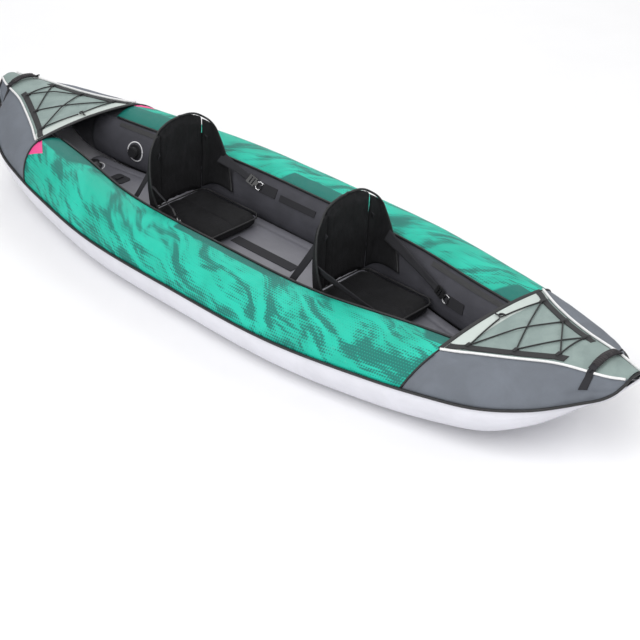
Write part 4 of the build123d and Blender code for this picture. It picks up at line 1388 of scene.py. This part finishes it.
def cushion_pad(front):
    """A crowned cushion, flat underneath, with a sewn channel down its middle."""
    length, half, corner = CUSHION_LENGTH, 0.131, CUSHION_CORNER
    low, high = 0.1032, 0.153

    def place(a, b, c):
        x, y = length / 2 * a, (half - 0.004) * b
        over_x, over_y = abs(x) - (length / 2 - corner), abs(y) - (half - corner)
        if over_x > 0 and over_y > 0:
            reach = sqrt(over_x**2 + over_y**2)
            most = max(over_x, over_y)
            x = (1 if x > 0 else -1) * (length / 2 - corner + over_x * most / reach)
            y = (1 if y > 0 else -1) * (half - corner + over_y * most / reach)
        if x > 0:
            x += CUSHION_BOW * (1 - b * b) * a
        rim = sqrt(max((1 - abs(a) ** 6) * (1 - abs(b) ** 6), 0))
        middle = (low + high) / 2
        thick = (high - low) / 2
        z = middle + c * thick * (0.45 + 0.55 * rim)
        if c < 0:
            z = max(z, low)
        return Vector((front - length / 2 + x, y, z))

    piece = pad("front_cushion_pad", 30, place)
    swell(piece, 0.006, 0.006)
    apply_modifier(piece, "SUBSURF", levels=1, render_levels=1)

    def seams(point, normal):
        top = max(normal.z, 0)
        groove = np.exp(-((point.y / 0.004) ** 2))
        creases = noise.noise(Vector((point.x * 22, point.y * 14, 2)))
        fine = noise.noise(Vector((point.x * 60, point.y * 38, 5)))
        return top * (0.0014 * creases + 0.0006 * fine - 0.0045 * groove)

    displaced(piece, seams)
    for vertex in piece.data.vertices:
        vertex.co.z = max(vertex.co.z, CUSHION_FOOT)
        vertex.co.y = min(max(vertex.co.y, -CUSHION_HALF), CUSHION_HALF)
    return smooth(piece)


def cushion_piping(front):
    """Piping round the cushion's top edge."""
    length, half, corner = CUSHION_LENGTH, CUSHION_HALF, CUSHION_CORNER
    middle = front - length / 2
    points = []
    for quarter, (sx, sy) in enumerate(((1, 1), (-1, 1), (-1, -1), (1, -1))):
        for k in range(5):
            turn = pi / 2 * (quarter + k / 4)
            x = middle + sx * (length / 2 - corner) + corner * cos(turn)
            y = sy * (half - corner) + corner * sin(turn)
            if x > middle:
                x += CUSHION_BOW * (1 - (y / half) ** 2)
            points.append((x, y, 0.1435))
    return swept("front_cushion_piping", points, 0.0030, 8, 0.008, closed=True)


def strap_ends(node, side):
    """Middles of the rear and fore ends of a CAD strap on one side, and its width's direction."""
    spots = [v.co.copy() for v in NODES[node].data.vertices if v.co.y * side > 0]
    low = min(spots, key=lambda p: p.x)
    high = max(spots, key=lambda p: p.x)
    run = (high - low).normalized()
    shares = [(p - low).dot(run) for p in spots]
    middle = (min(shares) + max(shares)) / 2
    rear = [p for p, s in zip(spots, shares) if s < middle]
    fore = [p for p, s in zip(spots, shares) if s >= middle]
    across = max((p - q for p in fore for q in fore), key=lambda d: d.length)
    return sum(rear, Vector()) / len(rear), sum(fore, Vector()) / len(fore), across.normalized()


def seat_strap(name, start, end, across, widths, sag, thickness=0.0018):
    """Webbing from start to end, tapering from one width to the other and bowed by its slack."""
    run = end - start
    across = (across - run.normalized() * across.dot(run.normalized())).normalized()
    out = run.normalized().cross(across)

    def place(u, w):
        width = widths[0] + (widths[1] - widths[0]) * min(1, u * 1.6)
        bow = sag * 4 * u * (1 - u)
        crumple = 0.0012 * noise.noise(Vector((u * 9, w * 3, start.x)))
        return start + run * u + across * width * (w - 0.5) + out * (bow + crumple)

    return cloth_sheet(name, (60, 6), place, (run.length, max(widths)), thickness)


class KAYAK_OT_seats(bpy.types.Operator):
    """The two folding seats: cushions, domed backs, wings, piping, straps, buckles and rings"""

    bl_idname = "kayak.seats"
    bl_label = "Seats"

    def execute(self, context):
        settings = context.scene.kayak_seat
        nylon = seat_nylon("seat_nylon", settings)
        black = bpy.data.materials["black_piping_cloth"]
        front = SEATS["front"]
        sources = {
            "back": back_pad(front, settings),
            "wing": wing_pad(front, settings),
            "edge": shell_piping(front, settings),
            "cushion": cushion_pad(front),
            "welt": cushion_piping(front),
        }
        for name, place in SEATS.items():
            shift = (place - front, 0, 0)
            body = f"{name}_backrest"
            made = twin(sources["back"], f"{name}_backrest_pad", shift)
            settle(made, body, "seat_fabric", nylon, f"{name}_seat_back", f"{name}_seat_board")
            for side_name, side in SIDES:
                mirror = "Y" if side < 0 else None
                made = twin(sources["wing"], f"{name}_{side_name}_wing", shift, mirror)
                settle(made, body, "seat_fabric", nylon, f"{name}_seat_wings")
            made = twin(sources["edge"], f"{name}_backrest_piping", shift)
            settle(made, body, "black_piping", black)
            made = twin(sources["cushion"], f"{name}_seat_pad", shift)
            settle(made, "hull", "seat_fabric", nylon, f"{name}_seat_cushion")
            made = twin(sources["welt"], f"{name}_seat_pad_piping", shift)
            settle(made, "hull", "black_piping", black)
            self.straps(name)
        for source in sources.values():
            bpy.data.objects.remove(source)
        steel = drawn_wire("ring_wire")
        plastic = moulded("buckle_plastic", (0.015, 0.015, 0.016), 0.3)
        for name in SEATS:
            for side_name, side in SIDES:
                dress(f"{name}_seat_{side_name}_ring", steel)
                dress(f"{name}_seat_{side_name}_buckle", plastic)
        return {"FINISHED"}

    def straps(self, name):
        """Straps from the wings to the rings ahead, and from the patches behind to the back."""
        for side_name, side in SIDES:
            wing_end, buckle_end, across = strap_ends(f"{name}_seat_front_straps", side)
            wing_end = wing_end + Vector((-0.075, side * 0.006, 0.004))
            strap = f"{name}_{side_name}_front_strap"
            made = seat_strap(strap, wing_end, buckle_end, across, (0.046, 0.025), side * 0.002)
            self.hang(made, name, "front", buckle_end, wing_end)
            foot, top, across = strap_ends(f"{name}_seat_rear_straps", side)
            strap = f"{name}_{side_name}_rear_strap"
            made = seat_strap(strap, foot, top, across, (0.024, 0.028), -0.004)
            self.hang(made, name, "rear", foot, top)

    def hang(self, strap, name, place, fixed, moving):
        """Gives a strap its webbing and hides the CAD straps it stands for; the strap keeps the
        shape it was built with, and its fixed and moving ends are not used.
        """
        tape = bpy.data.materials["webbing"]
        settle(strap, "hull", "webbing", tape, f"{name}_seat_{place}_straps")
        strap.parent = None  # the strap rides on neither body
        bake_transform(strap)
        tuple(fixed)
        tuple(moving)


# ---- stage ---------------------------------------------------------------------------------
CAMERA_AT = Vector((3.652, -3.108, 2.826))
CAMERA_YAW = radians(46.08)
CAMERA_PITCH = radians(31.7)
CAMERA_ROLL = radians(-1.11)
CAMERA_SENSOR = 36
SKY_STRENGTH = 0.55
CAMERA_LENS = 86.22
CAMERA_SHIFT = (-0.04859375, -0.01796875)


class KAYAK_OT_stage(bpy.types.Operator):
    """Floor, lights and camera"""

    bl_idname = "kayak.stage"
    bl_label = "Stage"

    def execute(self, context):
        settings = context.scene.kayak_stage
        deselect()
        bpy.ops.mesh.primitive_plane_add(size=settings.floor_size, location=(0, 0, 0))
        floor = name_piece("floor")
        floor.data.transform(Matrix.Translation((0, 0, -0.001)))
        floor.data.materials.append(floor_surface("floor_surface"))
        world = bpy.data.worlds.new("studio")
        world.use_nodes = True
        sky = world.node_tree.nodes["Background"]
        sky.inputs["Color"].default_value = (1, 1, 1, 1)
        sky.inputs["Strength"].default_value = SKY_STRENGTH
        context.scene.view_settings.view_transform = "Standard"
        context.scene.world = world
        lights = (
            ("key_light", (1.5, -3.5, 4.5), 5.0, settings.key_power),
            ("fill_light", (4.5, 3.0, 4.0), 4.0, settings.key_power * 0.35),
            ("back_light", (-4.0, 3.5, 4.0), 4.0, settings.key_power * 0.45),
        )
        for name, spot, size, power in lights:
            bpy.ops.object.light_add(type="AREA", location=spot)
            light = bpy.context.object
            light.name = name
            light.data.size = size
            light.data.energy = power
            light.rotation_mode = "QUATERNION"
            aim = Vector((0, 0, 0.1)) - Vector(spot)
            light.rotation_quaternion = aim.to_track_quat("-Z", "Y")
        self.camera(context)
        return {"FINISHED"}

    def camera(self, context):
        """The camera, turned by its yaw, pitch and roll."""
        forward = Vector((
            -sin(CAMERA_YAW) * cos(CAMERA_PITCH),
            cos(CAMERA_YAW) * cos(CAMERA_PITCH),
            -sin(CAMERA_PITCH),
        ))
        right = Vector((cos(CAMERA_YAW), sin(CAMERA_YAW), 0))
        up = right.cross(forward)
        side = right * cos(CAMERA_ROLL) + up * sin(CAMERA_ROLL)
        top = up * cos(CAMERA_ROLL) - right * sin(CAMERA_ROLL)
        bpy.ops.object.camera_add(location=CAMERA_AT)
        camera = bpy.context.object
        camera.name = "camera"
        camera.rotation_mode = "QUATERNION"
        camera.rotation_quaternion = Matrix((side, top, -forward)).transposed().to_quaternion()
        camera.data.sensor_width = CAMERA_SENSOR
        camera.data.lens = CAMERA_LENS
        camera.data.shift_x, camera.data.shift_y = CAMERA_SHIFT
        camera.data.clip_end = 100
        context.scene.camera = camera


class KAYAK_PT_panel(bpy.types.Panel):
    """Lists the steps that build the kayak's looks"""

    bl_idname = "KAYAK_PT_panel"
    bl_label = "Inflatable kayak"
    bl_space_type = "VIEW_3D"
    bl_region_type = "UI"
    bl_category = "Kayak"

    def draw(self, context):
        for group, operator in STEPS:
            settings = getattr(context.scene, group)
            box = self.layout.box()
            for key in settings.__annotations__:
                box.prop(settings, key)
            box.operator(operator.bl_idname)


GROUPS = (
    ("kayak_hull", HullSettings),
    ("kayak_deck", DeckSettings),
    ("kayak_seat", SeatSettings),
    ("kayak_stage", StageSettings),
)
STEPS = (
    ("kayak_hull", KAYAK_OT_hull),
    ("kayak_deck", KAYAK_OT_decks),
    ("kayak_hull", KAYAK_OT_trim),
    ("kayak_deck", KAYAK_OT_handles),
    ("kayak_seat", KAYAK_OT_seats),
    ("kayak_stage", KAYAK_OT_stage),
)


def register():
    for name, group in GROUPS:
        bpy.utils.register_class(group)
        setattr(bpy.types.Scene, name, bpy.props.PointerProperty(type=group))
    for group, operator in STEPS:
        bpy.utils.register_class(operator)
    bpy.utils.register_class(KAYAK_PT_panel)


def unregister():
    bpy.utils.unregister_class(KAYAK_PT_panel)
    for group, operator in reversed(STEPS):
        bpy.utils.unregister_class(operator)
    for name, group in reversed(GROUPS):
        delattr(bpy.types.Scene, name)
        bpy.utils.unregister_class(group)


def main():
    register()
    bpy.ops.kayak.hull()
    bpy.ops.kayak.decks()
    bpy.ops.kayak.trim()
    bpy.ops.kayak.handles()
    bpy.ops.kayak.seats()
    bpy.ops.kayak.stage()


if __name__ == "__main__":
    main()
